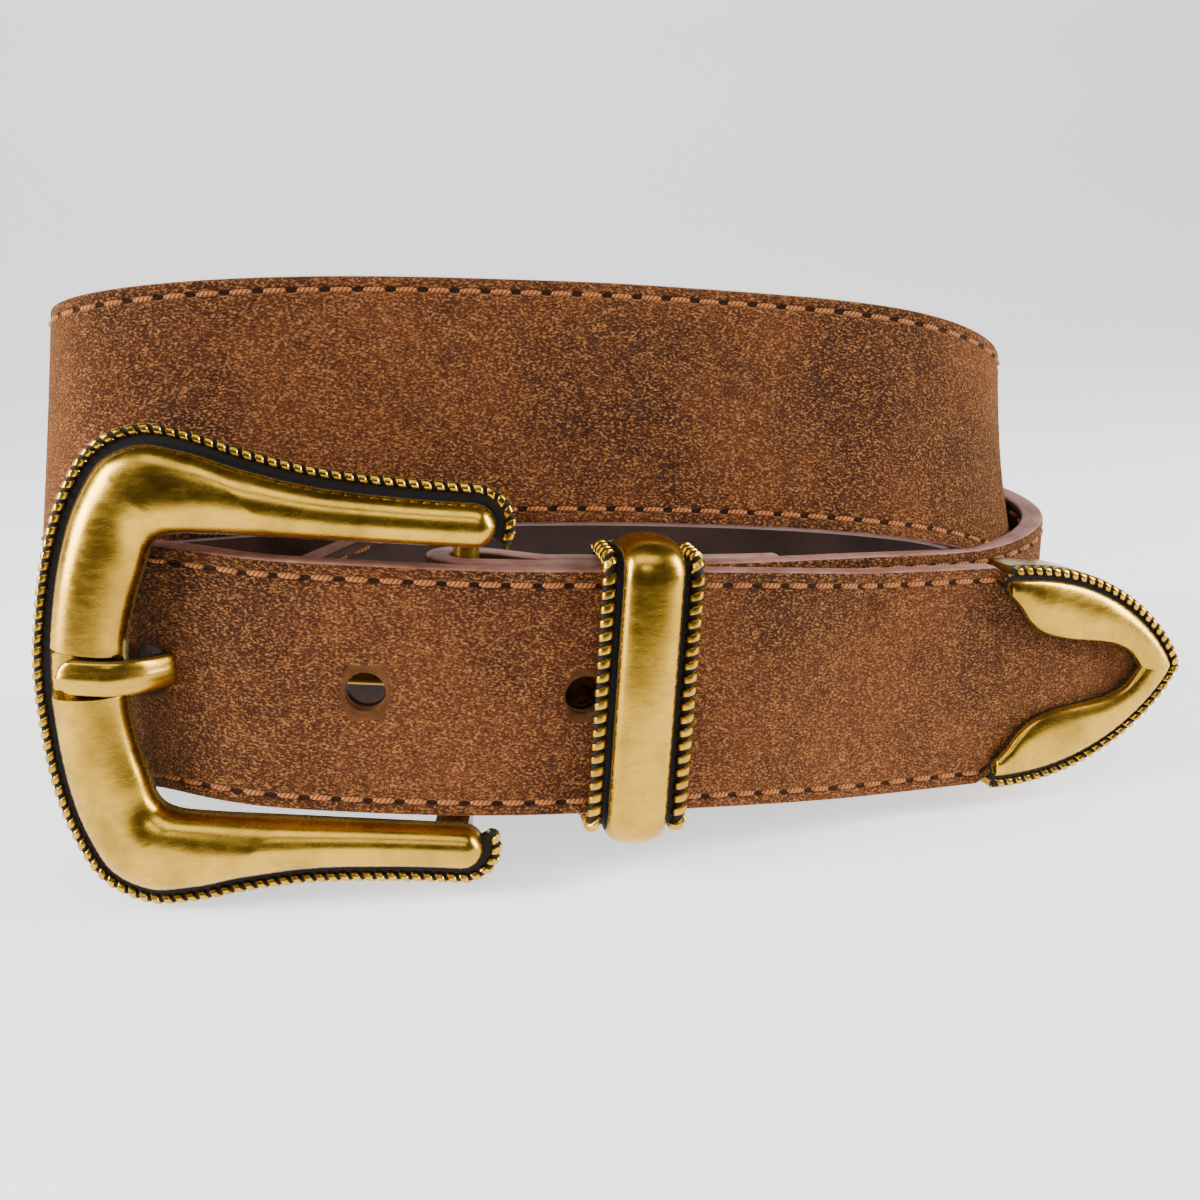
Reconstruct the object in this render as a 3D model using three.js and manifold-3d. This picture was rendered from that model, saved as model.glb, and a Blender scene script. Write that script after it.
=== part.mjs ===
import * as THREE from 'three';
import { mergeVertices } from 'three/addons/utils/BufferGeometryUtils.js';
import Module from 'manifold-3d';

const wasm = await Module();
wasm.setup();

// Western belt, buckled and wound twice round. Millimetres, +Z up, front towards -Y.

// Strap
const STRAP_WIDTH = 38;
const SUEDE_THICKNESS = 2.0;
const LINING_THICKNESS = 1.5;
const PLY_GAP = 0.3;
const STRAP_THICKNESS = SUEDE_THICKNESS + PLY_GAP + LINING_THICKNESS;

// Plan of the coil: a flattened oval between ellipse and rectangle
const COIL_REACH_RIGHT = 93.8;
const COIL_REACH_LEFT = 75;
const COIL_HALF_DEPTH = 37.2;
const COIL_SQUARENESS = 2.3;
const LAYER_CLEARANCE = 0.6;
const LAYER_PITCH = STRAP_THICKNESS + LAYER_CLEARANCE;

// Places on the coil, as turn angles in degrees; -90 is the middle of the front
const HEEL_TURN = -98;
const CHAPE_END_TURN = -70;
const TAIL_TURN = 658;
const FULL_TURN = 360;
const FOLD_BLEND = 15;
const CHAPE_SKIVE = 0.55;

// Free end
const TAIL_LENGTH = 60;
const TAIL_BEND = -3.9;
const TAIL_SETTLE = 0.3;
const HOLE_DIAMETER = 6;
const HOLE_PITCH = 32;
const HOLE_COUNT = 5;
const HOLES_BEHIND_PRONG = 2;
const PRONG_HOLE_STRETCH = 3;
const PRONG_HOLE_ROOM = 0.8;

// Buckle
const BUCKLE_LENGTH = 69;
const BUCKLE_HALF_HEIGHT = 36.2;
const BUCKLE_ARM_END = 8;
const BUCKLE_YAW = 6.8;
const BUCKLE_PLATE = 1.4;
const BUCKLE_RISE = 4.6;
const STRAP_SIT = 1.2;
const BAR_RADIUS = 2;
const BAR_CLEARANCE = 0.3;
const FRAME_CLEARANCE = 0.5;
const LUG_LENGTH = 5;

// Cast rope border
const ROPE_RADIUS = 0.85;
const ROPE_PITCH = 1.9;
const ROPE_SLANT = 0.45;
const GROOVE = 1.1;

// Prong
const PRONG_WIDTH = 5.2;
const PRONG_THICKNESS = 2.6;
const PRONG_CLEARANCE = 0.3;
const PRONG_LENGTH = 56;
const PRONG_RISE = 44;
const PRONG_LAND = 48.7;
const PRONG_NOSE_FALL = 0.14;
const PRONG_EYE_WALL = 1.5;

// Keeper
const KEEPER_TURN = 636.2;
const KEEPER_BAND = 8.8;
const KEEPER_FLANGE = 14.6;
const KEEPER_WALL = 1.1;
const KEEPER_RISE = 3.0;
const KEEPER_CLEARANCE = 0.8;
const KEEPER_CORNER = 1.2;
const KEEPER_ROPE_RADIUS = 1.05;
const KEEPER_ROPE_PITCH = 2.1;

// Metal tip
const TIP_LENGTH = 36;
const TIP_WALL = 1.2;
const TIP_RISE = 1.7;
const TIP_CLEARANCE = 0.3;
const TIP_END_ROOM = 2;
const TIP_OVERSTAND = 0.3;
const TIP_SHOULDER = 2;

const rad = THREE.MathUtils.degToRad;
const smooth = THREE.MathUtils.smoothstep;

// The way round, from just before the heel bar to where the tail leaves the coil.
// layer: how far the strap's middle lies outside the first turn, in layer pitches
// lift: height of the lower edge above the table, as a share of the strap's width
// lean: how far the top tips in over the coil, in degrees
const ROUTE = [
  { turn: -112, layer: 0, lift: 0.351, lean: 0 },
  { turn: -98, layer: 0, lift: 0.309, lean: 0 },
  { turn: -84, layer: 0, lift: 0.251, lean: 0 },
  { turn: -60, layer: -0.65, lift: 0.165, lean: 0 },
  { turn: -35, layer: -0.2, lift: 0.109, lean: 0 },
  { turn: 0, layer: 0.36, lift: 0.194, lean: 0 },
  { turn: 30, layer: 0.3, lift: 0.28, lean: 0 },
  { turn: 90, layer: 0, lift: 0.56, lean: 2 },
  { turn: 135, layer: 0, lift: 0.98, lean: 5 },
  { turn: 180, layer: -0.42, lift: 1.258, lean: 8 },
  { turn: 225, layer: -1.29, lift: 1.394, lean: 13 },
  { turn: 262, layer: -3.16, lift: 1.388, lean: 16.7 },
  { turn: 288, layer: -3.16, lift: 1.292, lean: 16.7 },
  { turn: 311, layer: -1.95, lift: 1.179, lean: 13 },
  { turn: 360, layer: -1.43, lift: 0.81, lean: 5 },
  { turn: 405, layer: -1.6, lift: 0.58, lean: 5 },
  { turn: 450, layer: -1.8, lift: 0.28, lean: 10 },
  { turn: 485, layer: -1.6, lift: 0, lean: 17 },
  { turn: 505, layer: -1.3, lift: -0.03, lean: 17 },
  { turn: 540, layer: -0.5, lift: 0.12, lean: 8 },
  { turn: 575, layer: 0.5, lift: 0.42, lean: 1 },
  { turn: 587, layer: 0.85, lift: 0.442, lean: 0 },
  { turn: 596, layer: 1, lift: 0.396, lean: 0 },
  { turn: 610, layer: 1, lift: 0.356, lean: 0 },
  { turn: 622, layer: 1, lift: 0.309, lean: 0 },
  { turn: 636, layer: 1, lift: 0.251, lean: 0 },
  { turn: 658, layer: 0.3, lift: 0.127, lean: 0 },
];
// Height of the tail's lower edge at the mouth of its metal tip
const TAIL_LIFT_MOUTH = 0.076;

const routeCurve = new THREE.CubicInterpolant(
  Float32Array.from(ROUTE, row => row.turn),
  Float32Array.from(ROUTE.flatMap(row => [row.layer, row.lift, row.lean])),
  3,
);

// Geometry helpers

function toSolid(geometry) {
  const bare = geometry.clone();
  for (const name of Object.keys(bare.attributes)) {
    if (name !== 'position') bare.deleteAttribute(name);
  }
  const merged = mergeVertices(bare, 1e-4);
  return new wasm.Manifold(new wasm.Mesh({
    numProp: 3,
    vertProperties: Float32Array.from(merged.attributes.position.array),
    triVerts: Uint32Array.from(merged.index.array),
  }));
}

function fromSolid(solid) {
  const mesh = solid.getMesh();
  const geometry = new THREE.BufferGeometry();
  geometry.setAttribute('position', new THREE.BufferAttribute(mesh.vertProperties, 3));
  geometry.setIndex(new THREE.BufferAttribute(mesh.triVerts, 1));
  geometry.computeVertexNormals();
  return geometry;
}

function join(solids) {
  return solids.reduce((whole, solid) => whole.add(solid));
}

// A closed skin through rings of equal point count; flat caps on an open run
function loft(rings, closed = false) {
  const sides = rings[0].length;
  const positions = [];
  const index = [];
  rings.forEach(ring => ring.forEach(point => positions.push(point.x, point.y, point.z)));
  const runs = closed ? rings.length : rings.length - 1;
  for (let i = 0; i < runs; i += 1) {
    const next = (i + 1) % rings.length;
    for (let j = 0; j < sides; j += 1) {
      const a = i * sides + j;
      const b = i * sides + (j + 1) % sides;
      const c = next * sides + (j + 1) % sides;
      const d = next * sides + j;
      index.push(a, b, c, a, c, d);
    }
  }
  if (!closed) {
    const flat = THREE.ShapeUtils.triangulateShape(flatten(rings[0]), []);
    const last = (rings.length - 1) * sides;
    for (const [a, b, c] of flat) {
      index.push(a, c, b, last + a, last + b, last + c);
    }
  }
  const geometry = new THREE.BufferGeometry();
  geometry.setAttribute('position', new THREE.Float32BufferAttribute(positions, 3));
  geometry.setIndex(index);
  const solid = toSolid(geometry);
  return solid.volume() < 0 ? toSolid(flipped(geometry)) : solid;
}

function flipped(geometry) {
  const turned = geometry.clone();
  const order = Array.from(turned.index.array);
  for (let i = 0; i < order.length; i += 3) {
    [order[i + 1], order[i + 2]] = [order[i + 2], order[i + 1]];
  }
  turned.setIndex(order);
  return turned;
}

// A ring's points in its own plane
function flatten(ring) {
  const origin = ring[0];
  const across = ring[1].clone().sub(origin).normalize();
  const normal = new THREE.Vector3();
  for (let j = 1; j + 1 < ring.length; j += 1) {
    const one = ring[j].clone().sub(origin);
    const two = ring[j + 1].clone().sub(origin);
    normal.add(one.cross(two));
  }
  const up = normal.normalize().cross(across);
  return ring.map(point => {
    const offset = point.clone().sub(origin);
    return new THREE.Vector2(offset.dot(across), offset.dot(up));
  });
}

// Places on the coil, seen from above

function planPoint(turn) {
  const angle = rad(turn);
  const c = Math.cos(angle);
  const s = Math.sin(angle);
  const power = 2 / COIL_SQUARENESS;
  return new THREE.Vector3(
    (c > 0 ? COIL_REACH_RIGHT : COIL_REACH_LEFT) * Math.sign(c) * Math.abs(c) ** power,
    COIL_HALF_DEPTH * Math.sign(s) * Math.abs(s) ** power,
    0,
  );
}

function planTangent(turn) {
  return planPoint(turn + 0.5).sub(planPoint(turn - 0.5)).normalize();
}

function planNormal(turn) {
  const tangent = planTangent(turn);
  return new THREE.Vector3(tangent.y, -tangent.x, 0);
}

function centreHeight(lift, lean) {
  const tilt = rad(lean);
  return lift * STRAP_WIDTH + STRAP_WIDTH / 2 * Math.cos(tilt) + STRAP_THICKNESS / 2 * Math.sin(tilt);
}

// The strap's middle line on the coil
function routePlace(turn) {
  const [layer, lift, lean] = routeCurve.evaluate(turn);
  const point = planPoint(turn).addScaledVector(planNormal(turn), layer * LAYER_PITCH);
  point.z = centreHeight(lift, lean);
  return { point, side: planNormal(turn), lean, thick: 1 };
}

// The chape folds round the heel bar and comes back inside the first turn
const FOLD_RADIUS = BAR_RADIUS + BAR_CLEARANCE + STRAP_THICKNESS / 2;
const HEEL = framedAt(routePlace, HEEL_TURN, 0.5);
const BAR_CENTRE = HEEL.point.clone().addScaledVector(HEEL.out, -FOLD_RADIUS);

function chapePlace(turn) {
  const share = (turn - HEEL_TURN) / (CHAPE_END_TURN - HEEL_TURN);
  const run = planPoint(turn).distanceTo(planPoint(HEEL_TURN));
  const thick = THREE.MathUtils.lerp(1, CHAPE_SKIVE, smooth(share, 0.2, 1));
  const near = 2 * FOLD_RADIUS;
  const far = STRAP_THICKNESS / 2 * (1 + thick) + PLY_GAP;
  const depth = THREE.MathUtils.lerp(near, far, smooth(run, 0, FOLD_BLEND));
  const place = routePlace(turn);
  place.point.addScaledVector(place.side, -depth);
  return { point: place.point, side: place.side.clone().negate(), lean: 0, thick };
}

function foldPlace(angle) {
  const side = HEEL.out.clone().multiplyScalar(-Math.cos(angle));
  side.addScaledVector(HEEL.along, -Math.sin(angle));
  const point = BAR_CENTRE.clone().addScaledVector(side, FOLD_RADIUS);
  return { point, side, lean: 0, thick: 1 };
}

// The tail runs on nearly straight from the coil
const TAIL_START = routePlace(TAIL_TURN);
const TAIL_HEADING = planTangent(TAIL_TURN);
const TAIL_MOUTH = TAIL_LENGTH - TIP_LENGTH + TIP_WALL + TIP_END_ROOM;

// A slight bend up to the mouth of the tip, dead straight inside it
function tailPlace(run) {
  const bent = Math.min(run, TAIL_MOUTH) / TAIL_MOUTH;
  const bend = rad(TAIL_BEND) * bent;
  const heading = TAIL_HEADING.clone().applyAxisAngle(new THREE.Vector3(0, 0, 1), bend);
  const mean = TAIL_HEADING.clone().applyAxisAngle(new THREE.Vector3(0, 0, 1), bend / 2);
  const point = TAIL_START.point.clone().addScaledVector(mean, Math.min(run, TAIL_MOUTH));
  point.addScaledVector(heading, Math.max(run - TAIL_MOUTH, 0));
  const startLift = ROUTE[ROUTE.length - 1].lift;
  const fall = (startLift - TAIL_LIFT_MOUTH) * STRAP_WIDTH;
  const settled = THREE.MathUtils.lerp(bent, 1 - (1 - bent) ** 2, TAIL_SETTLE);
  const onward = (1 - TAIL_SETTLE) * Math.max(run - TAIL_MOUTH, 0) / TAIL_MOUTH;
  point.z = centreHeight(startLift, 0) - fall * (settled + onward);
  return { point, side: new THREE.Vector3(heading.y, -heading.x, 0), lean: 0, thick: 1 };
}

// Evenly spaced places along the whole belt, each with its frame
const STATION_STEP = 11;
const FOLD_STEPS = 8;

function stepsFor(from, to, place, step) {
  const count = 400;
  const marks = [];
  let travelled = 0;
  let previous = place(from).point;
  const lengths = [0];
  for (let i = 1; i <= count; i += 1) {
    const point = place(from + (to - from) * i / count).point;
    travelled += point.distanceTo(previous);
    lengths.push(travelled);
    previous = point;
  }
  const pieces = Math.ceil(travelled / step);
  let at = 0;
  for (let k = 0; k <= pieces; k += 1) {
    const wanted = travelled * k / pieces;
    while (at < count && lengths[at + 1] < wanted) at += 1;
    const span = Math.max(lengths[Math.min(at + 1, count)] - lengths[at], 1e-6);
    const share = Math.min((wanted - lengths[at]) / span, 1);
    marks.push(from + (to - from) * (at + share) / count);
  }
  return marks;
}

function beltPlaces() {
  const chape = stepsFor(CHAPE_END_TURN, HEEL_TURN, chapePlace, STATION_STEP).map(chapePlace);
  const fold = [];
  for (let k = 1; k < FOLD_STEPS; k += 1) {
    fold.push(foldPlace(Math.PI * k / FOLD_STEPS));
  }
  const coil = stepsFor(HEEL_TURN, TAIL_TURN, routePlace, STATION_STEP).map(routePlace);
  const tail = [
    ...stepsFor(0, TAIL_MOUTH - TIP_SHOULDER, tailPlace, STATION_STEP).slice(1),
    ...stepsFor(TAIL_MOUTH, TAIL_LENGTH, tailPlace, STATION_STEP / 2),
  ].map(tailPlace);
  const places = [...chape, ...fold, ...coil, ...tail];
  places.forEach((place, i) => {
    const before = places[Math.max(i - 1, 0)].point;
    const after = places[Math.min(i + 1, places.length - 1)].point;
    addFrame(place, after.clone().sub(before).normalize());
  });
  return places;
}

// out: away from the suede face, up: across the strap's width, along: the way it runs
function addFrame(place, along) {
  const up = place.side.clone().cross(along).normalize();
  const out = along.clone().cross(up).normalize();
  const tilt = rad(place.lean);
  place.along = along;
  place.up = up.clone().multiplyScalar(Math.cos(tilt)).addScaledVector(out, -Math.sin(tilt));
  place.out = out.clone().multiplyScalar(Math.cos(tilt)).addScaledVector(up, Math.sin(tilt));
  return place;
}

function framedAt(place, parameter, delta) {
  const here = place(parameter);
  const along = place(parameter + delta).point.sub(place(parameter - delta).point).normalize();
  return addFrame(here, along);
}

// A pointed arch: full width at the mouth, a soft point at the end
function archShare(share) {
  const held = THREE.MathUtils.clamp(share, 0, 1);
  return (1 - held ** 2.3) ** 0.8;
}

// The strap's end is cut back at a shoulder, to fit inside the tip
const TIP_HALF_WIDTH = STRAP_WIDTH / 2 + TIP_OVERSTAND;
const TONGUE_HALF_WIDTH = TIP_HALF_WIDTH - TIP_WALL - TIP_CLEARANCE;

function tailHalfWidth(run) {
  const share = (run - TAIL_MOUTH) / (TIP_LENGTH - TIP_WALL - TIP_END_ROOM / 2);
  const shoulder = THREE.MathUtils.clamp((run - TAIL_MOUTH + TIP_SHOULDER) / TIP_SHOULDER, 0, 1);
  return THREE.MathUtils.lerp(STRAP_WIDTH / 2, TONGUE_HALF_WIDTH, shoulder) * archShare(share);
}

// near is the side towards the other ply, far the side away from it
function plySolid(places, near, far) {
  const tailPoint = TAIL_START.point;
  const tailFrom = places.findIndex(place => place.point.distanceTo(tailPoint) < 1e-6);
  let run = 0;
  const rings = places.map((place, i) => {
    if (i > tailFrom && tailFrom >= 0) run += place.point.distanceTo(places[i - 1].point);
    const half = run > 0 ? tailHalfWidth(run) : STRAP_WIDTH / 2;
    const corner = (width, depth) => place.point.clone()
      .addScaledVector(place.up, width)
      .addScaledVector(place.out, depth * place.thick);
    return [corner(-half, near), corner(half, near), corner(half, far), corner(-half, far)];
  });
  return loft(rings);
}

// A straight-sided cutter through the strap, long-holed along it by stretch
function holeCutter(place, radius, stretch) {
  const shape = new THREE.Shape();
  shape.absarc(stretch / 2, 0, radius, -Math.PI / 2, Math.PI / 2, false);
  shape.absarc(-stretch / 2, 0, radius, Math.PI / 2, Math.PI * 1.5, false);
  const depth = STRAP_THICKNESS * 1.6;
  const geometry = new THREE.ExtrudeGeometry(shape, { depth, bevelEnabled: false, curveSegments: 8 });
  geometry.translate(0, 0, -depth / 2);
  geometry.applyMatrix4(frameMatrix(place.point, place.along, place.up, place.out));
  return toSolid(geometry);
}

function frameMatrix(point, x, y, z) {
  return new THREE.Matrix4().makeBasis(x, y, z).setPosition(point);
}

// The buckle's own frame: origin on the heel bar's axis, x towards the tip, y up, z out
const BUCKLE_FRAME = (() => {
  const point = BAR_CENTRE.clone().addScaledVector(HEEL.up, STRAP_SIT);
  const yaw = new THREE.Matrix4().makeRotationY(-rad(BUCKLE_YAW));
  return frameMatrix(point, HEEL.along, HEEL.up, HEEL.out).multiply(yaw);
})();

// Depths in the buckle's frame
const FOLD_FRONT = FOLD_RADIUS + STRAP_THICKNESS / 2;
const TAIL_FRONT = FOLD_FRONT + LAYER_PITCH;
const FRAME_BACK = TAIL_FRONT + FRAME_CLEARANCE - STRAP_THICKNESS * 0.35;

// Upper half of the frame's edge as shares of its length from the heel bar's arm end
// and of its half height; the lower half mirrors it
const FRAME_EDGE = [
  { along: 1, height: 0 },
  { along: 0.99, height: 0.25 },
  { along: 0.968, height: 0.5 },
  { along: 0.93, height: 0.72 },
  { along: 0.868, height: 0.91 },
  { along: 0.77, height: 1 },
  { along: 0.665, height: 0.983 },
  { along: 0.55, height: 0.925 },
  { along: 0.405, height: 0.873 },
  { along: 0.23, height: 0.85 },
  { along: 0.09, height: 0.845 },
];
const WINDOW_EDGE = [
  { along: 0.805, height: 0 },
  { along: 0.801, height: 0.15 },
  { along: 0.785, height: 0.3 },
  { along: 0.765, height: 0.42 },
  { along: 0.745, height: 0.53 },
  { along: 0.705, height: 0.578 },
  { along: 0.62, height: 0.588 },
  { along: 0.5, height: 0.588 },
  { along: 0.38, height: 0.588 },
  { along: 0.23, height: 0.588 },
  { along: 0.09, height: 0.588 },
];
const BORDER = GROOVE + 2 * ROPE_RADIUS;

function mirroredCurve(table) {
  const half = table.map(row => new THREE.Vector2(
    BUCKLE_ARM_END - row.along * BUCKLE_LENGTH,
    row.height * BUCKLE_HALF_HEIGHT,
  ));
  const lower = half.slice(1).map(point => new THREE.Vector2(point.x, -point.y));
  return new THREE.SplineCurve([...half.slice().reverse(), ...lower]);
}

// Points moved sideways off a run of points by a distance, to its left
function offsetRun(points, distance) {
  return points.map((point, i) => {
    const before = points[Math.max(i - 1, 0)];
    const after = points[Math.min(i + 1, points.length - 1)];
    const way = after.clone().sub(before).normalize();
    return point.clone().add(new THREE.Vector2(-way.y, way.x).multiplyScalar(distance));
  });
}

const FRAME_STATIONS = 32;
const ARM_CAP_STEPS = 4;

// Dome edges from the upper arm's round end, round the left bar, to the lower arm's end
function domeRails() {
  const edge = mirroredCurve(FRAME_EDGE).getSpacedPoints(FRAME_STATIONS);
  const outer = offsetRun(edge, BORDER);
  const inner = mirroredCurve(WINDOW_EDGE).getSpacedPoints(FRAME_STATIONS);
  return { outer, inner };
}

// Round ends: the two rails close in on each other on a half circle
function withRoundEnds({ outer, inner }) {
  const cap = (a, b, inward) => {
    const middle = a.clone().add(b).multiplyScalar(0.5);
    const reach = a.distanceTo(b) / 2;
    const rows = [];
    for (let k = 1; k <= ARM_CAP_STEPS; k += 1) {
      const angle = Math.PI / 2 * k / (ARM_CAP_STEPS + 0.4);
      const forward = new THREE.Vector2(reach * Math.sin(angle), 0);
      const width = Math.cos(angle);
      rows.push([
        middle.clone().add(a.clone().sub(middle).multiplyScalar(width)).add(forward),
        middle.clone().add(b.clone().sub(middle).multiplyScalar(width)).add(forward),
      ]);
    }
    return inward ? rows.reverse() : rows;
  };
  const start = cap(outer[0], inner[0], true);
  const last = outer.length - 1;
  const end = cap(outer[last], inner[last], false);
  return {
    outer: [...start.map(row => row[0]), ...outer, ...end.map(row => row[0])],
    inner: [...start.map(row => row[1]), ...inner, ...end.map(row => row[1])],
  };
}

// A rounded ridge between two rails: an arched section on straight feet
function ridge(outer, inner, floor, foot, rise, arcSteps = 4) {
  const widest = Math.max(...outer.map((point, i) => point.distanceTo(inner[i])));
  const rings = outer.map((a, i) => {
    const b = inner[i];
    const width = a.distanceTo(b);
    const height = rise * Math.min(1, 0.55 + 0.45 * width / widest * 1.15);
    const fade = Math.min(1, width / (widest * 0.35));
    const ring = [new THREE.Vector3(a.x, a.y, floor)];
    for (let k = 0; k <= arcSteps; k += 1) {
      const angle = Math.PI * k / arcSteps;
      const share = (1 - Math.cos(angle)) / 2;
      const point = a.clone().lerp(b, share);
      const top = foot + height * Math.sqrt(fade) * Math.sin(angle) ** 0.8;
      ring.push(new THREE.Vector3(point.x, point.y, top));
    }
    ring.push(new THREE.Vector3(b.x, b.y, floor));
    return ring;
  });
  return loft(rings);
}

// A cast rope: rings that swell and shrink once in each pitch, slanted along the run
function rope(points, radius, pitch, outward) {
  const curve = new THREE.CatmullRomCurve3(points, false, 'centripetal');
  const length = curve.getLength();
  const count = Math.round(length / pitch);
  const sides = 5;
  const rings = [];
  for (let i = 0; i <= 2 * count; i += 1) {
    const share = i / (2 * count);
    const centre = curve.getPointAt(share);
    const along = curve.getTangentAt(share);
    const out = outward(share).clone().addScaledVector(along, -outward(share).dot(along)).normalize();
    const across = along.clone().cross(out);
    const size = i % 2 === 0 ? radius * 0.72 : radius;
    const ring = [];
    for (let k = 0; k < sides; k += 1) {
      const angle = 2 * Math.PI * (k + 0.5) / sides;
      const slant = ROPE_SLANT * pitch * Math.cos(angle);
      ring.push(centre.clone()
        .addScaledVector(across, size * Math.cos(angle))
        .addScaledVector(out, size * Math.sin(angle))
        .addScaledVector(along, slant));
    }
    rings.push(ring);
  }
  return loft(rings);
}

function extruded(outline, from, to) {
  const shape = new THREE.Shape(outline);
  const geometry = new THREE.ExtrudeGeometry(shape, { depth: to - from, bevelEnabled: false });
  geometry.translate(0, 0, from);
  return toSolid(geometry);
}

function rod(from, to, radius, sides = 12) {
  const middle = from.clone().add(to).multiplyScalar(0.5);
  const geometry = new THREE.CylinderGeometry(radius, radius, from.distanceTo(to), sides);
  const turn = new THREE.Quaternion().setFromUnitVectors(
    new THREE.Vector3(0, 1, 0),
    to.clone().sub(from).normalize(),
  );
  geometry.applyQuaternion(turn);
  geometry.translate(middle.x, middle.y, middle.z);
  return toSolid(geometry);
}

function buckleSolid() {
  const rails = withRoundEnds(domeRails());
  const plateFront = FRAME_BACK + BUCKLE_PLATE;
  const dome = ridge(rails.outer, rails.inner, FRAME_BACK + 0.2, plateFront, BUCKLE_RISE);
  const rimRun = offsetRun(rails.outer, -(GROOVE + ROPE_RADIUS));
  const lastRow = rails.outer.length - 1;
  const nose = [0, lastRow].map(i => rails.outer[i].clone().lerp(rails.inner[i], 0.5));
  const armReach = GROOVE + ROPE_RADIUS;
  const armEnd = (i, sign) => {
    const middle = nose[i];
    const radius = Math.abs(rails.outer[i === 0 ? ARM_CAP_STEPS : lastRow - ARM_CAP_STEPS].y
      - rails.inner[i === 0 ? ARM_CAP_STEPS : lastRow - ARM_CAP_STEPS].y) / 2 + armReach;
    const centre = new THREE.Vector2(
      rails.outer[i === 0 ? ARM_CAP_STEPS : lastRow - ARM_CAP_STEPS].x,
      middle.y,
    );
    const points = [];
    for (let k = 0; k <= 8; k += 1) {
      const angle = rad(-30 + 120 * k / 8) * sign;
      points.push(new THREE.Vector2(
        centre.x + radius * Math.cos(angle),
        centre.y + radius * Math.sin(angle),
      ));
    }
    return points;
  };
  const upper = armEnd(0, 1);
  const lower = armEnd(1, -1).reverse();
  const body = rimRun.slice(ARM_CAP_STEPS + 1, rimRun.length - ARM_CAP_STEPS - 1);
  const rim = [...upper, ...body, ...lower];
  const innerRun = rails.inner.slice(ARM_CAP_STEPS, rails.inner.length - ARM_CAP_STEPS);
  const plate = extruded([...rim, ...innerRun.slice().reverse()], FRAME_BACK, plateFront);
  const out = new THREE.Vector3(0, 0, 1);
  const ropeRun = rim.map(point => new THREE.Vector3(point.x, point.y, plateFront));
  const border = rope(ropeRun, ROPE_RADIUS, ROPE_PITCH, () => out);
  const armMiddle = (nose[0].y - nose[1].y) / 2;
  const lugHalf = (rails.outer[ARM_CAP_STEPS].y - rails.inner[ARM_CAP_STEPS].y) / 2;
  const parts = [dome, plate, border];
  for (const side of [-1, 1]) {
    const y = side * armMiddle;
    const outline = [
      new THREE.Vector2(-LUG_LENGTH / 2, y - lugHalf * 0.9),
      new THREE.Vector2(LUG_LENGTH / 2, y - lugHalf * 0.9),
      new THREE.Vector2(LUG_LENGTH / 2, y + lugHalf * 0.9),
      new THREE.Vector2(-LUG_LENGTH / 2, y + lugHalf * 0.9),
    ];
    parts.push(extruded(outline, -BAR_RADIUS, plateFront));
  }
  parts.push(rod(new THREE.Vector3(0, -armMiddle, 0), new THREE.Vector3(0, armMiddle, 0), BAR_RADIUS));
  return join(parts);
}

// The prong's way, in the buckle's frame: along from the heel bar, and out.
// It comes up through the strap at PRONG_RISE and lies on the frame's bar from PRONG_LAND.
const PRONG_WAY = (() => {
  const inside = FOLD_RADIUS - STRAP_THICKNESS / 2;
  const top = FRAME_BACK + BUCKLE_PLATE + BUCKLE_RISE + PRONG_THICKNESS * 0.46;
  const climb = PRONG_LAND - PRONG_RISE;
  const nose = PRONG_LENGTH - PRONG_LAND;
  return [
    { along: BAR_RADIUS + PRONG_CLEARANCE + PRONG_EYE_WALL * 0.7, out: inside + PRONG_THICKNESS * 0.08 },
    { along: PRONG_RISE * 0.446, out: inside + PRONG_THICKNESS * 0.23 },
    { along: PRONG_RISE * 0.764, out: inside + PRONG_THICKNESS * 0.27 },
    { along: PRONG_RISE - climb * 0.6, out: inside + PRONG_THICKNESS * 0.46 },
    { along: PRONG_RISE, out: inside + PRONG_THICKNESS * 1.3 },
    { along: PRONG_RISE + climb * 0.47, out: top - PRONG_THICKNESS * 0.69 },
    { along: PRONG_LAND, out: top },
    { along: PRONG_LAND + nose * 0.46, out: top + nose * 0.014 },
    { along: PRONG_LENGTH, out: top - nose * PRONG_NOSE_FALL },
  ];
})();

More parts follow.
